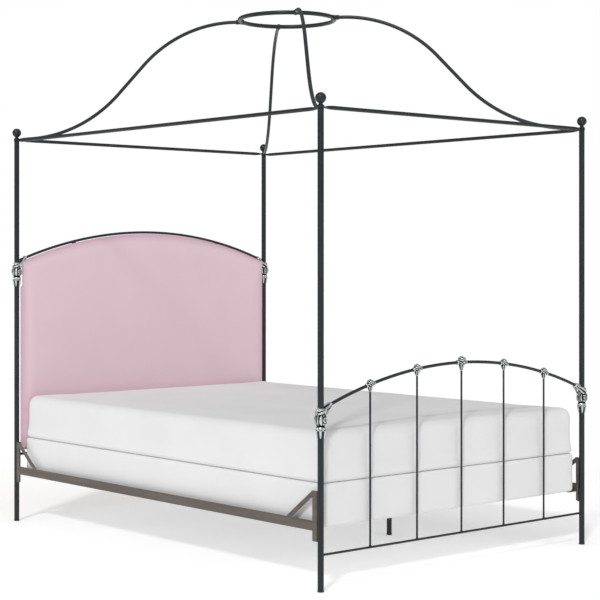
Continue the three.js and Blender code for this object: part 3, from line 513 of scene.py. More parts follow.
def board_material():
    """Birch plywood: long grain along x, pores and a few darker bands."""
    material, tree, shader, where = new_material("panel_board", 0.6, 0.0, Specular_IOR_Level=0.35)
    figure = speckle(tree, where, 14, 6, 0.6, (0.18, 1, 1.6))
    pores = speckle(tree, where, 420, 4, 0.6, (0.05, 1, 1))
    colour = ramp(tree, figure, [(0.25, (0.34, 0.215, 0.115)), (0.5, (0.50, 0.345, 0.20)),
                                 (0.75, (0.60, 0.44, 0.275))])
    colour = blended(tree, maths(tree, "MULTIPLY", pores, 0.45), colour, (0.27, 0.165, 0.085))
    tree.links.new(colour, shader.inputs["Base Color"])
    tree.links.new(maths(tree, "MULTIPLY_ADD", pores, 0.25, 0.45), shader.inputs["Roughness"])
    tree.links.new(bump(tree, pores, 0.4, 0.15 * MM), shader.inputs["Normal"])
    return material


def weave(tree, where, pitch, slub):
    """The height of a plain weave that runs along all three axes, so that every face shows two of them."""
    drift = speckle(tree, where, 45, 3)
    parts = node(tree, "ShaderNodeSeparateXYZ", i0=where).outputs
    waves = []
    for part in parts:
        bent = maths(tree, "MULTIPLY_ADD", drift, slub, part)
        waves.append(maths(tree, "SINE", maths(tree, "MULTIPLY", bent, TAU / pitch)))
    first = maths(tree, "MULTIPLY", waves[0], waves[1])
    second = maths(tree, "MULTIPLY", waves[1], waves[2])
    third = maths(tree, "MULTIPLY", waves[0], waves[2])
    return maths(tree, "ADD", maths(tree, "ADD", first, second), third)


def pink_material():
    """Dusty pink upholstery linen with faint slub threads, and painted shade: a darker pink over the rolled rim."""
    material, tree, shader, where = new_material(
        "pink_fabric", 0.88, 0.0, Sheen_Weight=0.12, Sheen_Roughness=0.45, Specular_IOR_Level=0.15)
    threads = weave(tree, where, 1.3 * MM, 0.5 * MM)
    slubs = speckle(tree, where, 120, 4, 0.6, (0.25, 1, 1))
    uprights = speckle(tree, where, 120, 4, 0.6, (1, 1, 0.25))
    drift = speckle(tree, where, 4, 3)
    colour = ramp(tree, drift, [(0.3, (0.800, 0.605, 0.670)), (0.7, (0.825, 0.630, 0.695))])
    colour = blended(tree, maths(tree, "MULTIPLY", slubs, 0.14), colour, (0.72, 0.52, 0.59))
    colour = blended(tree, maths(tree, "MULTIPLY", uprights, 0.14), colour, (0.72, 0.52, 0.59))
    colour = blended(tree, maths(tree, "MULTIPLY_ADD", threads, 0.05, 0.05), colour, (0.50, 0.35, 0.41))
    # Painted shade: the rim attribute mixes a darker pink into the rolled edge, where the fabric turns away from the
    # light.
    rim = node(tree, "ShaderNodeAttribute", {"attribute_name": "rim"}).outputs["Fac"]
    colour = blended(tree, maths(tree, "MULTIPLY", rim, 0.8), colour, (0.600, 0.385, 0.467))
    tree.links.new(colour, shader.inputs["Base Color"])
    tree.links.new(maths(tree, "MULTIPLY_ADD", slubs, 0.15, 0.80), shader.inputs["Roughness"])
    cloth = bump(tree, threads, 0.35, 0.15 * MM)
    tree.links.new(bump(tree, slubs, 0.12, 0.2 * MM, cloth), shader.inputs["Normal"])
    return material


def ticking_material():
    """White mattress ticking: a close knit with soft greyer drifts where it has been handled."""
    material, tree, shader, where = new_material(
        "white_ticking", 0.85, 0.0, Sheen_Weight=0.15, Sheen_Roughness=0.5, Specular_IOR_Level=0.2)
    threads = weave(tree, where, 1.8 * MM, 0.3 * MM)
    drifts = speckle(tree, where, 3, 4, 0.55)
    flecks = speckle(tree, where, 240, 3)
    colour = ramp(tree, drifts, [(0.3, (0.785, 0.785, 0.79)), (0.7, (0.83, 0.83, 0.83))])
    colour = blended(tree, maths(tree, "MULTIPLY", flecks, 0.16), colour, (0.70, 0.70, 0.71))
    colour = blended(tree, maths(tree, "MULTIPLY_ADD", threads, 0.04, 0.04), colour, (0.62, 0.62, 0.64))
    tree.links.new(colour, shader.inputs["Base Color"])
    tree.links.new(maths(tree, "MULTIPLY_ADD", flecks, 0.15, 0.78), shader.inputs["Roughness"])
    cloth = bump(tree, threads, 0.3, 0.15 * MM)
    tree.links.new(bump(tree, flecks, 0.2, 0.2 * MM, cloth), shader.inputs["Normal"])
    return material


IRON = iron_material()
PEWTER = pewter_material()
RAIL_PAINT = rail_material()
ZINC = zinc_material()
PLASTIC = plastic_material()
BOARD = board_material()
PINK = pink_material()
TICKING = ticking_material()


# ---- places taken from the model ----

CORNERS = [("foot_left", -1, -1), ("foot_right", 1, -1), ("head_left", -1, 1), ("head_right", 1, 1)]
POST = centre_of("glide_foot_right")
HALF_X = POST.x
HALF_Y = -POST.y
POST_RADIUS = size_of("post_canopy_foot_right").x / 2
RING_CENTRE = centre_of("canopy_ring")
RING_RADIUS = size_of("canopy_ring").x / 2 - RING_TUBE


def post_at(sign_x, sign_y):
    return Vector((sign_x * HALF_X, sign_y * HALF_Y, 0))


def weld(radius, bead, height, segments=36):
    """A bead of weld round an upright rod, with the ripples that the torch leaves."""
    rings = []
    for k in range(segments):
        angle = k * TAU / segments
        swell = bead * (1 + 0.14 * math.sin(9 * angle))
        out = np.array([math.cos(angle), math.sin(angle), 0])
        around = np.arange(10) * TAU / 10
        ring = (radius + swell * np.cos(around))[:, None] * out
        ring[:, 2] = height + swell * np.sin(around)
        rings.append(ring)
    return loft(rings, closed=True)


# ---- posts, finials and glides ----

def lower_post(low, split, top):
    """A tube with a spigot on top. The hollow is closed by a plug below the spigot."""
    edge = 0.8 * MM
    spigot = POST_BORE - FIT
    outside = [
        (POST_BORE, low), (POST_RADIUS - edge, low), (POST_RADIUS, low + edge), (POST_RADIUS, split - edge),
        (POST_RADIUS - edge, split), (spigot, split), (spigot, top - 2 * edge), (spigot - 2 * edge, top),
        (1e-5, top),
    ]
    inside = [(1e-5, split - POST_CAP), (POST_BORE, split - POST_CAP)]
    return tube(outside, inside)


def canopy_post(low, shoulder, top):
    """The upper tube of a post, slipped over the spigot and closed on top by a plug with a threaded stud."""
    edge = 0.8 * MM
    outside = [
        (POST_BORE, low), (POST_RADIUS - edge, low), (POST_RADIUS, low + edge), (POST_RADIUS, shoulder - edge),
        (POST_RADIUS - edge, shoulder), (STUD_RADIUS, shoulder),
    ]
    threads = int((top - shoulder - 2 * MM) / (1.25 * MM))
    for turn in range(threads):
        height = shoulder + 1 * MM + turn * 1.25 * MM
        outside += [(STUD_RADIUS, height), (STUD_RADIUS - 0.6 * MM, height + 0.6 * MM)]
    outside += [(STUD_RADIUS - 0.6 * MM, top), (1e-5, top)]
    inside = [(1e-5, shoulder - POST_CAP), (POST_BORE, shoulder - POST_CAP)]
    return tube(outside, inside)


def finial_shape(low, high, ball_radius):
    """A turned ball on a ringed neck."""
    centre = high - ball_radius
    neck = 8.5 * MM
    base = 11 * MM
    profile = [(0, low), (base - 0.5 * MM, low), (base, low + 0.5 * MM), (base, low + 2 * MM),
               (base - 0.7 * MM, low + 2.7 * MM), (neck, low + 3.6 * MM), (neck - 0.6 * MM, low + 4.6 * MM)]
    start = math.asin((neck - 0.4 * MM) / ball_radius)
    for angle in np.linspace(start, math.pi, 30):
        profile.append((ball_radius * math.sin(angle), centre - ball_radius * math.cos(angle)))
    return lathe(profile)


def glide_shape(low, shoulder, top, radius, stem):
    """A ribbed plastic plug with a broad foot."""
    edge = 1 * MM
    profile = [(0, low), (radius - edge, low), (radius - 0.3 * MM, low + 0.4 * MM), (radius, low + edge),
               (radius, shoulder - edge), (radius - 0.4 * MM, shoulder), (stem, shoulder)]
    rib = 4 * MM
    for k in range(4):
        height = shoulder + (k + 1) * rib
        profile += [(stem, height), (stem - 0.8 * MM, height + 0.2 * MM)]
    profile += [(stem - 1.5 * MM, top), (0, top)]
    return lathe(profile)


def add_posts():
    for tag, sign_x, sign_y in CORNERS:
        at = post_at(sign_x, sign_y)
        low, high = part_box(f"post_lower_{tag}")
        post = link(f"lower_post_{tag}", mesh_of(moved(lower_post(low.z, high.z - SPIGOT_LENGTH, high.z), at)))
        bolt = centre_of(f"rail_bolt_{tag}")
        drill = rod([(at.x, at.y, bolt.z), (at.x, at.y - sign_y * 2 * POST_RADIUS, bolt.z)], (1, 0, 0),
                    STUD_RADIUS + FIT)
        cut(post, drill)
        place(post, IRON, "iron", "frame", f"post_lower_{tag}")
        low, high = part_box(f"post_canopy_{tag}")
        shoulder = centre_of("canopy_rail_left").z - EYELET_HALF - FIT
        upper = link(f"canopy_post_{tag}", mesh_of(moved(canopy_post(low.z, shoulder, high.z), at)))
        place(upper, IRON, "iron", "frame", f"post_canopy_{tag}")
        low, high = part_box(f"finial_{tag}")
        knob = link(f"ball_finial_{tag}", mesh_of(moved(finial_shape(low.z, high.z, (high.x - low.x) / 2), at)))
        hole = lathe([(0, low.z - MM), (STUD_RADIUS + FIT, low.z - MM),
                      (STUD_RADIUS + FIT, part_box(f"post_canopy_{tag}")[1].z + FIT),
                      (0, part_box(f"post_canopy_{tag}")[1].z + FIT)], SMALL_SEGMENTS)
        cut(knob, moved(hole, at))
        place(knob, IRON, "iron", "frame", f"finial_{tag}")
        low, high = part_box(f"glide_{tag}")
        shape = glide_shape(low.z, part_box(f"post_lower_{tag}")[0].z - FIT, high.z, (high.x - low.x) / 2,
                            POST_BORE - FIT)
        foot = link(f"floor_glide_{tag}", mesh_of(moved(shape, at)))
        place(foot, PLASTIC, "black_plastic", "frame", f"glide_{tag}")


# ---- canopy ----

def tongue_sections(distances):
    """Cross sections of a canopy rod by distance from the post: a flat eyelet that swells into a round rod."""
    sections = []
    for distance in distances:
        share = min(max((distance - TAPER_START) / (TAPER_END - TAPER_START), 0), 1)
        eased = share * share * (3 - 2 * share)
        height = EYELET_HALF + (ROD_RADIUS - EYELET_HALF) * (1 - (1 - share) ** 2)
        neck = ROD_RADIUS + 1.5 * MM * (1 - eased)
        width = neck
        if distance < EYELET_RADIUS:
            width = max(neck, math.sqrt(max(EYELET_RADIUS ** 2 - distance ** 2, 0)))
        if distance < 0:
            width = math.sqrt(max(EYELET_RADIUS ** 2 - distance ** 2, (0.8 * MM) ** 2))
        sections.append(section(width, height, 2 + 3.5 * (1 - eased), ROD_SEGMENTS))
    return sections


def tongue_distances():
    """Distances along a rod's end, close together round the eyelet."""
    tip = -EYELET_RADIUS * np.cos(np.linspace(0, math.pi / 2, 14))
    waist = EYELET_RADIUS * np.sin(np.linspace(0, math.pi / 2, 12))[1:]
    taper = np.linspace(EYELET_RADIUS, TAPER_END, 22)[1:]
    return np.concatenate([tip, waist, taper])


def canopy_rail(start, way, length):
    """A straight rail from one post to the next, with an eyelet at each end."""
    end = tongue_distances()
    distances = np.concatenate([end, np.linspace(TAPER_END, length - TAPER_END, 10)[1:-1], (length - end)[::-1]])
    path = np.asarray(start) + distances[:, None] * np.asarray(way)
    side = np.cross([0, 0, 1], way)
    return sweep(path, side, tongue_sections(np.minimum(distances, length - distances)))


def ogee(run, rise, distances):
    """Points (along, up) of an arm's S-shaped centre line at distances along it."""
    bend_run = run - ARM_STRAIGHT_FOOT - ARM_STRAIGHT_TOP
    sine = math.sin(ARM_SLOPE)
    cosine = math.cos(ARM_SLOPE)
    span = sine ** 2 - cosine * (1 - cosine)
    radii = (bend_run * sine - rise * cosine) / span
    straight = (rise * sine - bend_run * (1 - cosine)) / span
    lower = radii * ARM_LOWER_SHARE
    upper = radii - lower
    out = []
    for left in distances:
        along = min(left, ARM_STRAIGHT_FOOT)
        left = max(left - ARM_STRAIGHT_FOOT, 0)
        angle = min(left / lower, ARM_SLOPE)
        along += lower * math.sin(angle)
        up = lower * (1 - math.cos(angle))
        left = max(left - lower * ARM_SLOPE, 0)
        along += min(left, straight) * cosine
        up += min(left, straight) * sine
        left = max(left - straight, 0)
        angle = max(ARM_SLOPE - left / upper, 0)
        along += upper * (sine - math.sin(angle))
        up += upper * (math.cos(angle) - cosine)
        along += max(left - upper * ARM_SLOPE, 0)
        out.append((along, up))
    length = ARM_STRAIGHT_FOOT + radii * ARM_SLOPE + straight + ARM_STRAIGHT_TOP
    return np.array(out), length


def arm_layout(sign_x, sign_y):
    """Where an arm meets the ring, its unit direction in plan and its run."""
    joint = np.array([sign_x * math.sin(RING_JOINT_ANGLE), sign_y * math.cos(RING_JOINT_ANGLE)]) * RING_RADIUS
    way = joint - np.array([sign_x * HALF_X, sign_y * HALF_Y])
    length = np.linalg.norm(way)
    return joint, way / length, length - ARM_SEAT


def canopy_arm(sign_x, sign_y, height):
    _, way, run = arm_layout(sign_x, sign_y)
    rise = RING_CENTRE.z - height
    total = ogee(run, rise, [0])[1]
    distances = np.concatenate([tongue_distances(), np.linspace(TAPER_END, total, ARM_STEPS)[1:]])
    flat = ogee(run, rise, np.maximum(distances, 0))[0]
    along = np.where(distances < 0, distances, flat[:, 0])
    path = np.stack([sign_x * HALF_X + along * way[0], sign_y * HALF_Y + along * way[1], height + flat[:, 1]], 1)
    return sweep(path, (-way[1], way[0], 0), tongue_sections(distances))


def ring_piece():
    """The ring at the crown, with a welded socket and a knob for each arm."""
    angles = np.arange(RING_STEPS) * TAU / RING_STEPS
    hoop = np.stack([RING_RADIUS * np.cos(angles), RING_RADIUS * np.sin(angles), np.zeros(RING_STEPS)], 1)
    shapes = []
    rings = []
    for (x, y, z), angle in zip(hoop, angles):
        out = np.array([math.cos(angle), math.sin(angle), 0])
        across, up = section(RING_TUBE, RING_TUBE, 2, ROD_SEGMENTS)
        ring = np.array([x, y, z]) + across[:, None] * out
        ring[:, 2] += up
        rings.append(ring)
    shapes.append(loft(rings, closed=True))
    bores = []
    for _, sign_x, sign_y in CORNERS:
        joint, way, _ = arm_layout(sign_x, sign_y)
        side = (-way[1], way[0], 0)

        def back(distance):
            return (joint[0] - distance * way[0], joint[1] - distance * way[1], 0)

        lip = 1 * MM
        stations = [0, BOSS_LENGTH - 6 * MM, BOSS_LENGTH - 5 * MM, BOSS_LENGTH - lip, BOSS_LENGTH]
        radii = [BOSS_RADIUS - lip, BOSS_RADIUS - lip, BOSS_RADIUS, BOSS_RADIUS, BOSS_RADIUS - 0.6 * MM]
        shapes.append(rod([back(s) for s in stations], side, radii))
        shapes.append(ball(BOSS_KNOB, back(0), segments=32))
        bores.append(rod([back(ARM_SEAT - FIT), back(BOSS_LENGTH + MM)], side, ROD_RADIUS + FIT))
    piece = united("crown_ring", *[moved(shape, RING_CENTRE) for shape in shapes])
    return cut(piece, *[moved(bore, RING_CENTRE) for bore in bores])


def add_canopy():
    side_z = centre_of("canopy_rail_left").z
    end_z = centre_of("canopy_rail_foot").z
    for name, sign in (("left", -1), ("right", 1)):
        shape = canopy_rail((sign * HALF_X, -HALF_Y, side_z), (0, 1, 0), 2 * HALF_Y)
        add_canopy_piece(f"tester_rail_{name}", shape, f"canopy_rail_{name}")
    for name, sign in (("foot", -1), ("head", 1)):
        shape = canopy_rail((-HALF_X, sign * HALF_Y, end_z), (1, 0, 0), 2 * HALF_X)
        add_canopy_piece(f"tester_rail_{name}", shape, f"canopy_rail_{name}")
    arm_z = end_z + 2 * EYELET_HALF + FIT
    for tag, sign_x, sign_y in CORNERS:
        add_canopy_piece(f"crown_arm_{tag}", canopy_arm(sign_x, sign_y, arm_z), f"canopy_arm_{tag}")
    place(ring_piece(), IRON, "iron", "frame", "canopy_ring", sharp=50)


def add_canopy_piece(name, shape, node_name):
    piece = link(name, mesh_of(shape))
    holes = []
    for _, sign_x, sign_y in CORNERS:
        at = post_at(sign_x, sign_y)
        hole = lathe([(0, 1.79), (EYELET_HOLE, 1.79), (EYELET_HOLE, 1.86), (0, 1.86)], SMALL_SEGMENTS)
        holes.append(moved(hole, at))
    low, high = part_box(node_name)
    near = [h for h in holes if low.x < h[0][:, 0].mean() < high.x and low.y < h[0][:, 1].mean() < high.y]
    cut(piece, *near)
    place(piece, IRON, "iron", "frame", node_name, sharp=50)


# ---- arches, bottom rails and spindles ----

def arch_height(top, x):
    return top - ARCH_RADIUS + math.sqrt(ARCH_RADIUS ** 2 - x ** 2)


HEAD_ARCH_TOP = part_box("head_arch_rail")[1].z - ARCH_ROD_RADIUS
FOOT_ARCH_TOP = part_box("foot_arch_rail")[1].z - ARCH_ROD_RADIUS
ARCH_REACH = HALF_X - POST_RADIUS - 5 * MM


def arch_path(top, y, reach, steps=ARCH_STEPS):
    swing = math.asin(reach / ARCH_RADIUS)
    angles = np.linspace(-swing, swing, steps)
    centre = top - ARCH_RADIUS
    return np.stack([ARCH_RADIUS * np.sin(angles), np.full(steps, y), centre + ARCH_RADIUS * np.cos(angles)], 1)


def straight_path(low, high, steps=2):
    return np.linspace(np.asarray(low, float), np.asarray(high, float), steps)


def plain_copy(name, node_name, width, segments=2):
    """A model node's own flat-sided shape with its faceted edges eased by a small bevel."""
    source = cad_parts[node_name]
    work = bmesh.new()
    work.from_mesh(source.data)
    bmesh.ops.remove_doubles(work, verts=work.verts, dist=1e-6)
    bmesh.ops.dissolve_limit(work, angle_limit=math.radians(1), verts=work.verts, edges=work.edges)
    mesh = bpy.data.meshes.new(name)
    work.to_mesh(mesh)
    work.free()
    piece = link(name, mesh)
    ease = piece.modifiers.new("ease", "BEVEL")
    ease.width = width
    ease.segments = segments
    ease.limit_method = "ANGLE"
    ease.angle_limit = math.radians(35)
    ease.harden_normals = False
    return applied(piece)


def lug_box(low, high, edge=0.6 * MM):
    """A flat steel lug with eased edges."""
    x0, y0, z0 = low
    x1, y1, z1 = high
    rings = []
    for y, inset in ((y0, edge), (y0 + edge, 0), (y1 - edge, 0), (y1, edge)):
        rings.append(np.array([(x0 + inset, y, z0 + inset), (x1 - inset, y, z0 + inset),
                               (x1 - inset, y, z1 - inset), (x0 + inset, y, z1 - inset)]))
    return loft(rings)


LUG_WIDTH = 24 * MM
LUG_THICKNESS = 3 * MM
SCREW_X = 450 * MM
LUG_TAIL = 12 * MM


def add_headboard_iron():
    screw = centre_of("panel_screw_left")
    front = HALF_Y + ARCH_ROD_RADIUS - LUG_THICKNESS
    arch = [rod(arch_path(HEAD_ARCH_TOP, HALF_Y, ARCH_REACH), (0, 1, 0), ARCH_ROD_RADIUS)]
    rail_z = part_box("head_bottom_rail")[0].z + ARCH_ROD_RADIUS
    rail = [rod(straight_path((-ARCH_REACH, HALF_Y, rail_z), (ARCH_REACH, HALF_Y, rail_z)), (0, 1, 0),
                ARCH_ROD_RADIUS)]
    lug_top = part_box("head_bottom_rail")[1].z
    for sign in (-1, 1):
        x = sign * SCREW_X
        near = (x - LUG_WIDTH / 2, front, screw.z - LUG_TAIL)
        far = (x + LUG_WIDTH / 2, front + LUG_THICKNESS, arch_height(HEAD_ARCH_TOP, x))
        arch.append(lug_box(near, far))
        rail.append(lug_box((near[0], front, rail_z), (far[0], front + LUG_THICKNESS, lug_top)))
    upper = united("head_arch", *arch)
    for sign in (-1, 1):
        hole = rod([(sign * SCREW_X, front - 5 * MM, screw.z), (sign * SCREW_X, front + 9 * MM, screw.z)],
                   (1, 0, 0), 2.9 * MM)
        cut(upper, hole)
    place(upper, IRON, "iron", "frame", "head_arch_rail")
    place(united("head_lower_rail", *rail), IRON, "iron", "frame", "head_bottom_rail")


def add_footboard_iron():
    arch = link("foot_arch", mesh_of(rod(arch_path(FOOT_ARCH_TOP, -HALF_Y, ARCH_REACH), (0, 1, 0), ARCH_ROD_RADIUS)))
    place(arch, IRON, "iron", "frame", "foot_arch_rail")
    low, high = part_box("foot_bottom_rail")
    radius = (high.z - low.z) / 2
    z = (low.z + high.z) / 2
    reach = high.x
    stations = np.array([-reach, -reach + 3 * MM, -reach + 6 * MM, 0, reach - 6 * MM, reach - 3 * MM, reach])
    path = np.stack([stations, np.full(7, -HALF_Y), np.full(7, z)], 1)
    radii = radius + np.array([2.2, 1.0, 0, 0, 0, 1.0, 2.2]) * MM
    rail = link("foot_lower_rail", mesh_of(rod(path, (0, 1, 0), radii)))
    place(rail, IRON, "iron", "frame", "foot_bottom_rail")
    for index in range(1, 6):
        name = f"spindle_{index}"
        low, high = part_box(name)
        x = (low.x + high.x) / 2
        r = (high.x - low.x) / 2
        bead = 1.6 * MM
        profile = [(0, low.z), (r + bead, low.z), (r + bead * 0.8, low.z + bead), (r + 0.2 * MM, low.z + 2.4 * bead),
                   (r, low.z + 3 * bead), (r, high.z - MM), (r - 0.6 * MM, high.z), (0, high.z)]
        stick = link(f"foot_spindle_{index}", mesh_of(moved(lathe(profile, ROD_SEGMENTS), (x, -HALF_Y, 0))))
        place(stick, IRON, "iron", "frame", name)


# ---- castings ----

def leaf_pair(points, radii):
    """A rib and its mirror image on the other side of the rail."""
    rib = free_rod(points, radii)
    return [rib, mirrored(rib, 1)]


def millimetres(points):
    return [tuple(value * MM for value in point) for point in points]


def volute(centre, start, turns, tube_radius, side):
    """A flat spiral scroll in a plane across the bed."""
    steps = 40
    points = []
    for k in range(steps):
        t = k / (steps - 1)
        radius = start * (1 - 0.80 * t)
        angle = side * (t * turns * TAU) + 0.9
        points.append((centre[0] + radius * math.cos(angle), centre[1], centre[2] + radius * math.sin(angle)))
    return free_rod(points, [tube_radius, tube_radius, tube_radius * 0.7], steps=60, segments=10)


def corner_casting_shape(rise):
    """Post at the origin, rail going off towards +x. Rise is the rail's height where the leaf lets go of it."""
    body = lathe([(r * MM, z * MM) for r, z in (
        (0, -47), (13.4, -47), (14.6, -45), (17.4, -42), (18.4, -39.5), (18.6, -36.5),
        (17.8, -33.5), (16.2, -31), (15.6, -28.5), (16.2, -26), (18.4, -20), (20.0, -11), (20.2, -3), (19.6, 6),
        (18.4, 14), (15.6, 20), (14.2, 23), (17.4, 25.5), (18.5, 29), (18.2, 33), (15.0, 36.5), (12.8, 38),
        (0, 38))], 72)
    high = rise / MM
    shapes = [body]
    shapes.append(free_rod(millimetres([(-13, 0, 24), (4, 0, 27), (20, 0, 34), (35, 0, high - 12), (50, 0, high)]),
                           [9 * MM, 10 * MM, 8.5 * MM, 7.5 * MM, 8.6 * MM]))
    shapes.append(free_rod(millimetres([(44, 0, high - 3.5), (50, 0, high - 0.3)]), [10.4 * MM, 10.9 * MM]))
    shapes += leaf_pair(millimetres([
        (-19, 5, 17), (-9, 14.5, 21), (6, 16, 29), (21, 11.5, 38), (36, 9, high - 6), (50, 7.2, high + 5)]),
        [3.6 * MM, 5.4 * MM, 5.2 * MM, 4.4 * MM, 4.2 * MM, 3.4 * MM])
    shapes += leaf_pair(millimetres([
        (8, 18, 12), (17, 15.5, 18), (27, 11.5, 27), (38, 9.5, high - 17), (48, 8.6, high - 7)]),
        [3.8 * MM, 4.6 * MM, 3.8 * MM, 3.2 * MM, 2.4 * MM])
    shapes.append(free_rod(millimetres([(-20, 0, 13), (-14, 0, 34), (3, 0, 41), (22, 0, 50), (40, 0, high + 6)]),
                           [3.2 * MM, 4.6 * MM, 4.6 * MM, 3.6 * MM, 2.8 * MM]))
    for side in (-1, 1):
        shapes.append(free_rod(millimetres([(-9, side * 14, -24), (-13, side * 14.5, -12), (-12.5, side * 15, 2),
                                            (-8, side * 13.5, 14)]), [3.2 * MM, 6.4 * MM, 6.0 * MM, 2.6 * MM]))
        shapes.append(free_rod(millimetres([(-18.4, side * 4, -21), (-19.4, side * 5, -6), (-17.6, side * 5, 9),
                                            (-13, side * 8, 20)]), [2.4 * MM, 3.0 * MM, 2.8 * MM, 2.0 * MM]))
        shapes.append(volute((5 * MM, side * 19.2 * MM, -6 * MM), 9.4 * MM, 1.3, 3.0 * MM, 1))
        shapes.append(free_rod(millimetres([(16, side * 12, -22), (19.5, side * 11, -8), (17, side * 12, 8)]),
                               [2.6 * MM, 3.4 * MM, 2.4 * MM]))
        shapes.append(ball(4.6 * MM, (0, side * 18 * MM, -36.5 * MM)))
        for lean in (-1, 1):
            shapes.append(free_rod(
                millimetres([(lean * 10, side * 10, -38), (lean * 11.2, side * 11.2, -50),
                             (lean * 9.8, side * 9.8, -64), (lean * 8.8, side * 8.8, -75)]),
                [5.0 * MM, 4.8 * MM, 3.6 * MM, 1.6 * MM]))
    for reach, height, radius in ((-17.2, -36.5, 5.2), (18, -36.5, 4.4), (-18.0, 29, 4.6)):
        shapes.append(ball(radius * MM, (reach * MM, 0, height * MM)))
    return merged(*shapes)


def spindle_casting_shape(size, slope):
    """A rosette on the rail: domed top with leaf ribs, lipped ears along the rail, and a leafed drop. Its front,
    towards -y, stands further out than its back."""
    half = size * 23 * MM
    front = size * 14 * MM
    back = 10 * MM
    drop = lathe([(0, -size * 27 * MM), (5.4 * MM, -size * 27 * MM), (6.2 * MM, -size * 25.4 * MM),
                  (5.3 * MM, -size * 23.4 * MM), (6.2 * MM, -size * 19 * MM), (8.4 * MM, -size * 12 * MM),
                  (9.6 * MM, -size * 5 * MM), (9.6 * MM, 3 * MM), (0, 4 * MM)], 48)
    dome = ball(1, (0, (back - front) / 2, 4 * MM * size),
                (15.2 * size * MM, (front + back) / 2 - 1.6 * MM, 15.4 * size * MM), segments=28)
    shapes = [drop, dome]
    stations = np.array([-1, -0.92, -0.78, -0.5, 0.5, 0.78, 0.92, 1]) * half
    ears = np.stack([stations, np.zeros(8), -slope * stations], 1)
    shapes.append(rod(ears, (0, 1, 0), np.array([8.2, 9.4, 9.2, 8.2, 8.2, 9.2, 9.4, 8.2]) * MM, 24))
    for face, depth in ((-1, front), (1, back)):
        for lean in (-72, -38, 0, 38, 72):
            angle = math.radians(lean)
            rib = []
            for reach, out in ((0.18, 0.90), (0.45, 0.86), (0.72, 0.62), (0.96, 0.10)):
                along = 16.2 * size * MM * reach
                rib.append((along * math.sin(angle), face * depth * out, 4 * MM * size + along * math.cos(angle)))
            shapes.append(free_rod(rib, [2.2 * MM, 3.0 * MM * size, 2.6 * MM * size, 2.0 * MM]))
        shapes.append(ball(4.6 * MM * size, (0, face * depth * 0.80, 2.5 * MM), (1, 0.6, 1)))
        shapes.append(free_rod([(0, face * 9.2 * MM, -1 * MM), (0, face * 8.8 * MM, -size * 10 * MM),
                                (0, face * 6.0 * MM, -size * 24 * MM)], [3.4 * MM, 3.4 * MM, 1.4 * MM]))
        for sign in (-1, 1):
            tip = sign * half * 0.9
            shapes.append(free_rod(
                [(sign * 5 * MM, face * depth * 0.72, -3 * MM), (sign * 13 * MM * size, face * 9.4 * MM, 1 * MM),
                 (tip, face * 7.4 * MM, 5.5 * MM - slope * tip)], [2.4 * MM, 2.8 * MM, 1.8 * MM]))
            shapes.append(free_rod(
                [(sign * 6 * MM, face * 6.8 * MM, -4 * MM), (sign * 7 * MM, face * 5.4 * MM, -size * 12 * MM),
                 (sign * 4.4 * MM, face * 3.4 * MM, -size * 23 * MM)], [2.8 * MM, 2.6 * MM, 1.2 * MM]))
    return merged(*shapes)


def mark_cavities(piece, spread):
    """Stores how hollow the surface is at each point, 0.5 on the flat and 1 in a recess."""
    mesh = piece.data
    count = len(mesh.vertices)
    points = np.zeros(count * 3)
    mesh.vertices.foreach_get("co", points)
    points = points.reshape(-1, 3)
    normals = np.zeros(count * 3)
    mesh.vertices.foreach_get("normal", normals)
    normals = normals.reshape(-1, 3)
    edges = np.zeros(len(mesh.edges) * 2, int)
    mesh.edges.foreach_get("vertices", edges)
    edges = edges.reshape(-1, 2)
    degree = np.bincount(edges.ravel(), minlength=count)[:, None]
    smooth = points.copy()
    for _ in range(26):
        total = np.zeros_like(smooth)
        np.add.at(total, edges[:, 0], smooth[edges[:, 1]])
        np.add.at(total, edges[:, 1], smooth[edges[:, 0]])
        smooth = total / degree
    depth = np.einsum("ij,ij->i", smooth - points, normals)
    values = np.clip(0.5 + 0.5 * depth / spread, 0, 1).astype(np.float32)
    mesh.attributes.new("cavity", "FLOAT", "POINT").data.foreach_set("value", values)


def casting_height(top, drop):
    """The height of a corner casting's middle, below the place where its leaf lets go of the arch rail."""
    return arch_height(top, HALF_X - CASTING_LEAF_REACH) - drop


def add_corner_castings():
    for end, sign_y, rise, top in (("head", 1, HEAD_CASTING_DROP, HEAD_ARCH_TOP),
                                   ("foot", -1, FOOT_CASTING_DROP, FOOT_ARCH_TOP)):
        middle = casting_height(top, rise)
        shape = corner_casting_shape(rise)
        for tag, sign_x in (("left", -1), ("right", 1)):
            turned = shape if sign_x < 0 else mirrored(shape, 0)
            at = post_at(sign_x, sign_y) + Vector((0, 0, middle))
            piece = cast(f"{end}_knuckle_{tag}", moved(turned, at), CASTING_VOXEL)
            bore = lathe([(0, middle - 0.08), (POST_RADIUS + FIT, middle - 0.08),
                          (POST_RADIUS + FIT, middle + 0.09), (0, middle + 0.09)])
            hollow = rod(arch_path(top, sign_y * HALF_Y, HALF_X - POST_RADIUS), (0, 1, 0),
                         ARCH_ROD_RADIUS + FIT)
            cut(piece, moved(bore, post_at(sign_x, sign_y)), hollow)
            mark_cavities(piece, 0.9 * MM)
            place(piece, PEWTER, "pewter", "frame", f"casting_{end}_{tag}", sharp=65)


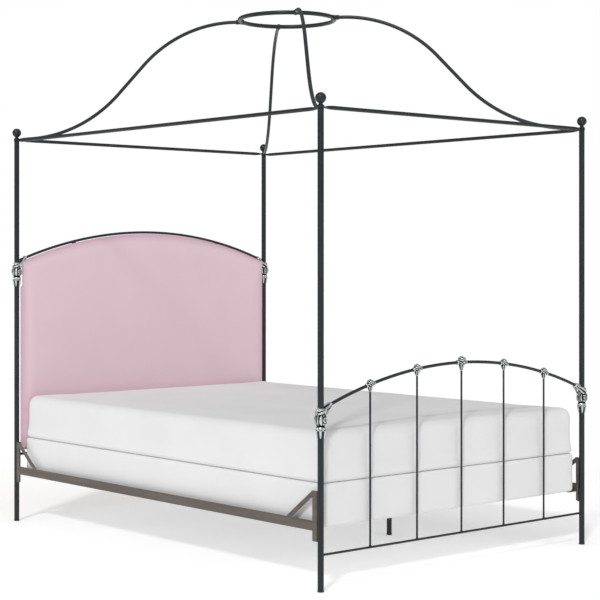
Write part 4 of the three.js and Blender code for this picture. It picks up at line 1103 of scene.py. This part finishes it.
def add_spindle_castings():
    hollow = rod(arch_path(FOOT_ARCH_TOP, -HALF_Y, ARCH_REACH), (0, 1, 0), ARCH_ROD_RADIUS + FIT)
    for index in range(1, 6):
        x = centre_of(f"spindle_{index}").x
        size = 1.25 if index == 3 else 1.0
        slope = x / math.sqrt(ARCH_RADIUS ** 2 - x ** 2)
        z = arch_height(FOOT_ARCH_TOP, x)
        piece = cast(f"foot_rosette_{index}", moved(spindle_casting_shape(size, slope), (x, -HALF_Y, z)),
                     SPINDLE_CASTING_VOXEL)
        bore = lathe([(0, z - 0.06), (4.3 * MM, z - 0.06), (4.3 * MM, z), (0, z)], SMALL_SEGMENTS)
        cut(piece, hollow, moved(bore, (x, -HALF_Y, 0)))
        mark_cavities(piece, 0.8 * MM)
        place(piece, PEWTER, "pewter", "frame", f"spindle_casting_{index}", sharp=65)


# ---- side rails, cross bars, leg and fasteners ----

def hex_bolt(radius, head, shank, length):
    """A hexagon head with a washer face, and a threaded shank that goes off towards +z."""
    rings = []
    angles = np.arange(48) * TAU / 48
    flat = radius * math.cos(math.pi / 6) / np.cos((angles + math.pi / 6) % (math.pi / 3) - math.pi / 6)
    for share, height in ((0.80, -head), (0.94, -head + 0.5 * MM), (1.0, -head + 1.2 * MM), (1.0, -0.5 * MM)):
        reach = np.minimum(flat, radius) * share
        rings.append(np.stack([reach * np.cos(angles), reach * np.sin(angles), np.full(48, height)], 1))
    steps = [(radius, -0.5 * MM), (radius, 0), (shank, 0)]
    pitch = 1.25 * MM
    for turn in range(int((length - MM) / pitch)):
        steps += [(shank, MM + turn * pitch), (shank - 0.55 * MM, MM + (turn + 0.5) * pitch)]
    steps += [(shank - 0.8 * MM, length)]
    for r, height in steps:
        rings.append(np.stack([r * np.cos(angles), r * np.sin(angles), np.full(48, height)], 1))
    return loft(rings)


def pan_screw(head_radius, head, shank, length):
    """A pan head with a cross recess, and a threaded shank that goes off towards -z."""
    profile = [(0, -length), (0.6 * MM, -length)]
    pitch = 1.4 * MM
    for turn in range(int((length - 2 * MM) / pitch)):
        profile += [(shank, -length + MM + turn * pitch), (shank - 0.6 * MM, -length + MM + (turn + 0.5) * pitch)]
    profile += [(shank, -MM), (shank, 0), (head_radius, 0), (head_radius, 0.25 * head),
                (0.94 * head_radius, 0.55 * head), (0.78 * head_radius, 0.82 * head),
                (0.45 * head_radius, 0.97 * head), (0, head)]
    return lathe(profile, 32)


def along_y(shape, sign):
    """A shape made along z laid down so that its +z points along +y or -y."""
    points = np.asarray(shape[0])
    laid = np.stack([points[:, 0], sign * points[:, 2], -sign * points[:, 1]], 1)
    return laid, shape[1]


def add_side_rails():
    for tag in ("left", "right"):
        rail = plain_copy(f"angle_rail_{tag}", f"side_rail_{tag}", 0.55 * MM)
        place(rail, RAIL_PAINT, "rail_paint", "frame", f"side_rail_{tag}", sharp=30)
    for index in range(1, 4):
        bar = plain_copy(f"slat_bar_{index}", f"cross_bar_{index}", 0.55 * MM)
        place(bar, RAIL_PAINT, "rail_paint", "frame", f"cross_bar_{index}", sharp=30)
    for tag, sign_x, sign_y in CORNERS:
        name = f"rail_bolt_{tag}"
        low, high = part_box(name)
        radius = (high.x - low.x) / 2
        head = 5 * MM
        length = (high.y - low.y) - head
        seat = low.y + head if sign_y > 0 else high.y - head
        shape = along_y(hex_bolt(radius, head, STUD_RADIUS, length), sign_y)
        bolt = link(f"hex_bolt_{tag}", mesh_of(moved(shape, (sign_x * HALF_X, seat, (low.z + high.z) / 2))))
        place(bolt, ZINC, "zinc", "frame", name)


def add_panel_screws():
    for tag, sign in (("left", -1), ("right", 1)):
        name = f"panel_screw_{tag}"
        low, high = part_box(name)
        head = 3 * MM
        shape = along_y(pan_screw((high.x - low.x) / 2, head, 2.5 * MM, high.y - low.y - head), 1)
        screw = link(f"pan_screw_{tag}", mesh_of(moved(shape, (sign * SCREW_X, high.y - head, centre_of(name).z))))
        cross = []
        for width, depth in ((3.6 * MM, 0.9 * MM), (0.9 * MM, 3.6 * MM)):
            near = (sign * SCREW_X - width / 2, high.y - 1.6 * MM, centre_of(name).z - depth / 2)
            far = (sign * SCREW_X + width / 2, high.y + MM, centre_of(name).z + depth / 2)
            cross.append(lug_box(near, far, 0.05 * MM))
        cut(screw, *cross)
        place(screw, ZINC, "zinc", "frame", name)


def add_support_leg():
    low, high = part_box("support_leg")
    radius = (high.x - low.x) / 2
    bore = 6.4 * MM
    at = centre_of("support_leg")
    edge = 0.7 * MM
    outside = [(bore, low.z), (radius - edge, low.z), (radius, low.z + edge), (radius, high.z - 3 * MM),
               (radius - edge, high.z), (1e-5, high.z)]
    inside = [(1e-5, low.z + 90 * MM), (bore, low.z + 90 * MM)]
    leg = link("centre_leg", mesh_of(moved(tube(outside, inside), (at.x, at.y, 0))))
    place(leg, IRON, "iron", "frame", "support_leg")
    low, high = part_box("support_leg_leveller")
    radius = (high.x - low.x) / 2
    base = 10 * MM
    profile = [(0, low.z), (radius - 1.2 * MM, low.z), (radius - 0.3 * MM, low.z + 0.5 * MM),
               (radius, low.z + 1.4 * MM), (radius, low.z + base - 2 * MM), (radius - 1.4 * MM, low.z + base),
               (6 * MM, low.z + base)]
    for turn in range(30):
        height = low.z + base + (1 + 2 * turn) * MM
        profile += [(6 * MM, height), (5.2 * MM, height + MM)]
    profile += [(5 * MM, high.z), (0, high.z)]
    foot = link("leveller_foot", mesh_of(moved(lathe(profile), (at.x, at.y, 0))))
    place(foot, PLASTIC, "black_plastic", "leveller", "support_leg_leveller")


# ---- soft goods ----

def edge_lines(half, edge, fine, coarse):
    """Grid lines across a width: fine over the rolled edges and coarse between."""
    rim = np.linspace(0, edge, fine + 1)
    middle = np.linspace(-half + edge, half - edge, max(2, int(2 * (half - edge) / coarse)))
    return np.concatenate([-half + rim[:-1], middle, (half - rim[:-1])[::-1]])


def lattice(xs, ys, zs):
    """The skin of a block on grid lines, as points and quads."""
    index = {}
    points = []

    def at(i, j, k):
        key = (i, j, k)
        if key not in index:
            index[key] = len(points)
            points.append((xs[i], ys[j], zs[k]))
        return index[key]

    last = (len(xs) - 1, len(ys) - 1, len(zs) - 1)
    faces = []
    for i in range(last[0]):
        for j in range(last[1]):
            for k, order in ((0, -1), (last[2], 1)):
                quad = (at(i, j, k), at(i + 1, j, k), at(i + 1, j + 1, k), at(i, j + 1, k))
                faces.append(quad[::order])
    for i in range(last[0]):
        for k in range(last[2]):
            for j, order in ((0, 1), (last[1], -1)):
                quad = (at(i, j, k), at(i + 1, j, k), at(i + 1, j, k + 1), at(i, j, k + 1))
                faces.append(quad[::order])
    for j in range(last[1]):
        for k in range(last[2]):
            for i, order in ((0, -1), (last[0], 1)):
                quad = (at(i, j, k), at(i, j + 1, k), at(i, j + 1, k + 1), at(i, j, k + 1))
                faces.append(quad[::order])
    return np.array(points), faces


def rounded_block(half_x, half_y, height, corner, top_edge, bottom_edge, coarse):
    """A block about the origin, round in plan at its corners and rolled over its top and bottom edges.
    Returns the shape and how far each point is from the rim in plan."""
    rim = max(corner, top_edge)
    xs = edge_lines(half_x, rim, 8, coarse)
    ys = edge_lines(half_y, rim, 8, coarse)
    walls = max(3, int((height - top_edge - bottom_edge) / coarse) + 1)
    zs = np.concatenate([np.linspace(0, bottom_edge, 4)[:-1],
                         np.linspace(bottom_edge, height - top_edge, walls),
                         np.linspace(height - top_edge, height, 7)[1:]])
    points, faces = lattice(xs, ys, zs)
    core = np.array([half_x - corner, half_y - corner])
    inner = np.clip(points[:, :2], -core, core)
    away = points[:, :2] - inner
    reach = np.abs(away).max(1)
    length = np.linalg.norm(away, axis=1)
    safe = np.maximum(length, 1e-9)
    outward = away / safe[:, None]
    inset = np.minimum(half_x - np.abs(points[:, 0]), half_y - np.abs(points[:, 1]))
    axis_x = (half_x - np.abs(points[:, 0])) <= (half_y - np.abs(points[:, 1]))
    straight = np.where(axis_x[:, None], np.stack([np.sign(points[:, 0]), np.zeros(len(points))], 1),
                        np.stack([np.zeros(len(points)), np.sign(points[:, 1])], 1))
    outward = np.where(length[:, None] > 1e-9, outward, straight)
    plan = inner + outward * reach[:, None]
    out = points.copy()
    out[:, :2] = plan
    for edge, from_edge, face_height, inward in ((top_edge, height - points[:, 2], height, -1),
                                                 (bottom_edge, points[:, 2], 0, 1)):
        flat = (from_edge < 1e-9) & (inset < edge)
        wall = (inset < 1e-9) & (from_edge < edge)
        angle = np.where(flat, (1 - inset / edge), 1 + from_edge / edge) * math.pi / 4
        rolled = flat | wall
        new_inset = edge * (1 - np.sin(angle))
        new_drop = edge * (1 - np.cos(angle))
        shift = np.where(rolled, new_inset - inset, 0)
        out[:, :2] -= outward * shift[:, None]
        out[:, 2] = np.where(rolled, face_height + inward * new_drop, out[:, 2])
    return (out, faces), inset


def puffed(piece, pinned, pressure, cap, stiffness=20, bending=4):
    """Blows a closed cloth piece up with gravity off, its pinned points held, and caps how far a point moves."""
    scene = bpy.context.scene
    mesh = piece.data
    count = len(mesh.vertices)
    rest = np.zeros(count * 3)
    mesh.vertices.foreach_get("co", rest)
    group = piece.vertex_groups.new(name="held")
    for weight in (1.0, 0.5):
        chosen = np.nonzero(np.abs(pinned - weight) < 0.01)[0].tolist()
        if chosen:
            group.add(chosen, weight, "REPLACE")
    cloth = piece.modifiers.new("cloth", "CLOTH")
    cloth.settings.quality = 5
    cloth.settings.mass = 0.4
    cloth.settings.tension_stiffness = stiffness
    cloth.settings.compression_stiffness = stiffness
    cloth.settings.shear_stiffness = stiffness / 2
    cloth.settings.bending_stiffness = bending
    cloth.settings.use_pressure = True
    cloth.settings.uniform_pressure_force = pressure
    cloth.settings.vertex_group_mass = "held"
    cloth.settings.effector_weights.gravity = 0
    cloth.point_cache.frame_start = 1
    cloth.point_cache.frame_end = SIM_FRAMES
    for step in range(1, SIM_FRAMES + 1):
        scene.frame_set(step)
    seen = piece.evaluated_get(bpy.context.evaluated_depsgraph_get())
    puffed_points = np.zeros(count * 3)
    seen.data.vertices.foreach_get("co", puffed_points)
    piece.modifiers.clear()
    piece.vertex_groups.clear()
    scene.frame_set(1)
    shift = (puffed_points - rest).reshape(-1, 3)
    length = np.linalg.norm(shift, axis=1)
    allowed = cap * np.tanh(length / cap)
    shift *= (allowed / np.maximum(length, 1e-9))[:, None]
    print(piece.name, "moved up to", round(float(length.max()) * 1000, 1), "mm before the cap")
    mesh.vertices.foreach_set("co", (rest.reshape(-1, 3) + shift).ravel())
    mesh.update()


def refined(piece):
    """One level of subdivision, applied."""
    finer = piece.modifiers.new("finer", "SUBSURF")
    finer.levels = 1
    finer.render_levels = 1
    return applied(piece)


def mesh_points(piece):
    points = np.zeros(len(piece.data.vertices) * 3)
    piece.data.vertices.foreach_get("co", points)
    return points.reshape(-1, 3)


def set_points(piece, points):
    piece.data.vertices.foreach_set("co", points.ravel())
    piece.data.update()


def ripple(piece, scale, amount, squash=(1, 1, 1)):
    """Fabric that isn't quite taut: small waves along the surface's normals."""
    points = mesh_points(piece)
    normals = np.zeros(points.size)
    piece.data.vertices.foreach_get("normal", normals)
    normals = normals.reshape(-1, 3)
    stretch = Vector(squash)
    waves = [noise.noise(Vector(point) * scale * stretch) for point in points]
    amounts = amount(points) if callable(amount) else amount
    set_points(piece, points + normals * (np.array(waves) * amounts)[:, None])


def add_mattress():
    low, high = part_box("mattress")
    centre = (low + high) / 2
    swell = 5 * MM
    half_x = (high.x - low.x) / 2 - swell
    half_y = (high.y - low.y) / 2 - swell / 2
    height = high.z - low.z - swell
    (points, faces), _ = rounded_block(
        half_x, half_y, height, MATTRESS_CORNER, MATTRESS_TOP_EDGE, MATTRESS_BOTTOM_EDGE, 24 * MM)
    held = np.where(points[:, 2] < MATTRESS_BOTTOM_EDGE * 1.01, 1.0, 0.0)
    base = Vector((centre.x, centre.y, low.z))
    piece = link("queen_mattress", mesh_of(moved((points, faces), base)))
    puffed(piece, held, MATTRESS_PRESSURE, MATTRESS_CAP)
    refined(piece)
    top = high.z

    def loose(at):
        near_rim = np.exp(-((top - at[:, 2]) / (60 * MM)) ** 2)
        side = np.maximum(np.abs(at[:, 0]) / half_x, np.abs(at[:, 1] - centre.y) / half_y)
        return (0.5 + 1.1 * near_rim * np.clip((side - 0.9) * 12, 0, 1)) * MM

    ripple(piece, 9, loose)
    flatten(piece, low, high)
    place(piece, TICKING, "white_ticking", "mattress", "mattress", sharp=60)


def flatten(piece, low, high):
    """Presses a soft piece flat where it rests on something and where its head end meets the headboard pad."""
    points = mesh_points(piece)
    points[:, 2] = np.clip(points[:, 2], low.z, high.z)
    points[:, 1] = np.minimum(points[:, 1], high.y)
    set_points(piece, points)


def add_box_spring():
    low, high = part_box("box_spring")
    centre = (low + high) / 2
    swell = 3 * MM
    half_x = (high.x - low.x) / 2 - swell
    half_y = (high.y - low.y) / 2 - swell
    height = high.z - low.z
    (points, faces), _ = rounded_block(
        half_x, half_y, height, BOX_SPRING_CORNER, BOX_SPRING_EDGE, BOX_SPRING_EDGE, 26 * MM)
    rim = (points[:, 2] < BOX_SPRING_EDGE * 1.01) | (points[:, 2] > height - BOX_SPRING_EDGE * 1.01)
    base = Vector((centre.x, centre.y, low.z))
    piece = link("box_foundation", mesh_of(moved((points, faces), base)))
    puffed(piece, np.where(rim, 1.0, 0.0), BOX_SPRING_PRESSURE, BOX_SPRING_CAP)
    refined(piece)
    ripple(piece, 7, 0.5 * MM)
    flatten(piece, low, high)
    place(piece, TICKING, "white_ticking", "box_spring", "box_spring", sharp=60)


def add_headboard_pad():
    low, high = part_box("headboard_pad")
    swell = 3 * MM
    half = (high.x - low.x) / 2 - swell
    thickness = high.y - low.y - PAD_SWELL
    top_edge = high.z - swell
    height = top_edge - low.z - swell
    bottom = low.z + swell
    (points, faces), inset = rounded_block(
        half, height / 2, thickness, PAD_CORNER, PAD_FRONT_EDGE, PAD_BACK_EDGE, 22 * MM)
    # The block's top becomes the pad's front, and its y becomes the height, bent to the arch.
    arch_radius = ARCH_RADIUS - ARCH_ROD_RADIUS - PAD_TOP_GAP - MM
    centre_z = HEAD_ARCH_TOP - ARCH_RADIUS
    share = points[:, 1] / height + 0.5
    tops = centre_z + np.sqrt(arch_radius ** 2 - points[:, 0] ** 2)
    upright = np.stack([points[:, 0], high.y - points[:, 2], bottom + share * (tops - bottom)], 1)
    held = np.where(points[:, 2] < PAD_BACK_EDGE * 1.01, 1.0, 0.0)
    # Painted shade: nearness to the rim, which the pink material turns into a darker pink over the rolled edge.
    rim = np.exp(-(inset / (15 * MM)) ** 2)
    piece = link("upholstered_panel", mesh_of((upright, [tuple(reversed(face)) for face in faces])))
    piece.data.attributes.new("rim", "FLOAT", "POINT").data.foreach_set("value", rim.astype(np.float32))
    puffed(piece, held, PAD_PRESSURE, PAD_SWELL)
    refined(piece)
    ripple(piece, 8, 0.5 * MM)
    fit_panel(piece, low.y, high.y)
    place(piece, PINK, "pink_fabric", "frame", "headboard_pad", sharp=60)


def fit_panel(piece, front, back):
    """Presses the board's pocket into the pad's back and eases its sides off the posts and castings."""
    points = mesh_points(piece)
    board_low, board_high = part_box("headboard_board")
    arch_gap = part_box("headboard_pad")[1].z - board_high.z
    tops = HEAD_ARCH_TOP - ARCH_RADIUS + np.sqrt(
        (ARCH_RADIUS - ARCH_ROD_RADIUS - PAD_RAIL_GAP - arch_gap) ** 2 - points[:, 0] ** 2)
    inside = np.minimum.reduce([board_high.x - np.abs(points[:, 0]), points[:, 2] - board_low.z,
                                tops - points[:, 2]])
    press = np.clip(inside / (4 * MM) + 1, 0, 1)
    pocket = board_low.y - FIT
    behind = points[:, 1] > pocket
    points[:, 1] = np.where(behind, points[:, 1] + (pocket - points[:, 1]) * press, points[:, 1])
    points[:, 1] = np.clip(points[:, 1], front, back)
    under_rail = HEAD_ARCH_TOP - ARCH_RADIUS + np.sqrt(
        (ARCH_RADIUS - ARCH_ROD_RADIUS - PAD_TOP_GAP) ** 2 - points[:, 0] ** 2)
    points[:, 2] = np.minimum(points[:, 2], under_rail)
    middle = casting_height(HEAD_ARCH_TOP, HEAD_CASTING_DROP)
    for sign in (-1, 1):
        post = np.array([sign * HALF_X, HALF_Y])
        away = points[:, :2] - post
        reach = np.linalg.norm(away, axis=1)
        by_casting = (points[:, 2] > middle - 78 * MM) & (points[:, 2] < middle + HEAD_CASTING_DROP)
        room = np.where(by_casting, CASTING_ROOM, POST_RADIUS + MM)
        points[:, :2] = post + away * np.maximum(room / np.maximum(reach, 1e-6), 1)[:, None]
        root = np.array([sign * (HALF_X - 15 * MM), HALF_Y, middle + HEAD_CASTING_DROP - 30 * MM])
        tip = np.array([sign * (HALF_X - CASTING_LEAF_REACH), HALF_Y, middle + HEAD_CASTING_DROP])
        line = tip - root
        share = np.clip((points - root) @ line / (line @ line), 0, 1.04)
        away = points - (root + share[:, None] * line)
        reach = np.linalg.norm(away, axis=1)
        points += away * (np.maximum(LEAF_ROOM / np.maximum(reach, 1e-6), 1) - 1)[:, None]
    set_points(piece, points)


def add_headboard_board():
    board = plain_copy("plywood_board", "headboard_board", 0.8 * MM)
    place(board, BOARD, "panel_board", "frame", "headboard_board", sharp=30)


# ---- floor and light ----

SUN_TRAVEL = (0.80, 0.52, -0.72)
SUN_STRENGTH = 1.15
SUN_SIZE = math.radians(6)
SURROUND_STRENGTH = 1.32


def add_floor():
    reach = 40
    mesh = bpy.data.meshes.new("floor")
    mesh.from_pydata([(-reach, -reach, 0), (reach, -reach, 0), (reach, reach, 0), (-reach, reach, 0)], [],
                     [(0, 1, 2, 3)])
    floor = link("floor", mesh)
    material, tree, shader, where = new_material("pale_floor", 0.9, 0.0)
    tone = ramp(tree, speckle(tree, where, 0.8, 3), [(0.3, grey(0.88)), (0.7, grey(0.90))])
    tree.links.new(tone, shader.inputs["Base Color"])
    shader.inputs["Emission Color"].default_value = (1, 1, 1, 1)
    shader.inputs["Emission Strength"].default_value = 0.30
    shader.inputs["Specular IOR Level"].default_value = 0.0
    floor.data.materials.append(material)


def add_light():
    """A soft key from the camera's left and a bright surround in front that fades behind the bed."""
    data = bpy.data.lights.new("key", "SUN")
    data.energy = SUN_STRENGTH
    data.angle = SUN_SIZE
    key = bpy.data.objects.new("key", data)
    key.rotation_mode = "QUATERNION"
    key.rotation_quaternion = Vector(SUN_TRAVEL).to_track_quat("-Z", "Y")
    bpy.context.scene.collection.objects.link(key)
    world = bpy.data.worlds.new("studio")
    bpy.context.scene.world = world
    world.use_nodes = True
    tree = world.node_tree
    tree.nodes.clear()
    way = node(tree, "ShaderNodeTexCoord").outputs["Generated"]
    facing = node(tree, "ShaderNodeVectorMath", {"operation": "DOT_PRODUCT"}, i0=way, i1=(-0.66, -0.75, -0.05))
    glow = ramp(tree, maths(tree, "MULTIPLY_ADD", facing.outputs["Value"], 0.5, 0.5),
                [(0.10, grey(0.30)), (0.50, grey(0.54)), (0.92, grey(0.85))])
    height = node(tree, "ShaderNodeSeparateXYZ", i0=way).outputs[2]
    crown = ramp(tree, height, [(0.15, grey(0.525)), (1.0, grey(1.0))])
    surround = node(tree, "ShaderNodeMix", {"data_type": "RGBA", "blend_type": "MULTIPLY"}, i0=1.0)
    tree.links.new(glow, surround.inputs[6])
    tree.links.new(crown, surround.inputs[7])
    lit = node(tree, "ShaderNodeBackground", i0=surround.outputs[2], i1=SURROUND_STRENGTH)
    plain = node(tree, "ShaderNodeBackground", i0=(1, 1, 1, 1), i1=1.0)
    seen = node(tree, "ShaderNodeLightPath").outputs["Is Camera Ray"]
    both = node(tree, "ShaderNodeMixShader", i0=seen, i1=lit.outputs[0], i2=plain.outputs[0])
    node(tree, "ShaderNodeOutputWorld", i0=both.outputs[0])
    bpy.context.scene.view_settings.view_transform = "Standard"


add_camera()
add_posts()
add_canopy()
add_headboard_iron()
add_footboard_iron()
add_corner_castings()
add_spindle_castings()
add_side_rails()
add_panel_screws()
add_support_leg()
add_headboard_board()
add_mattress()
add_box_spring()
add_headboard_pad()
add_floor()
add_light()
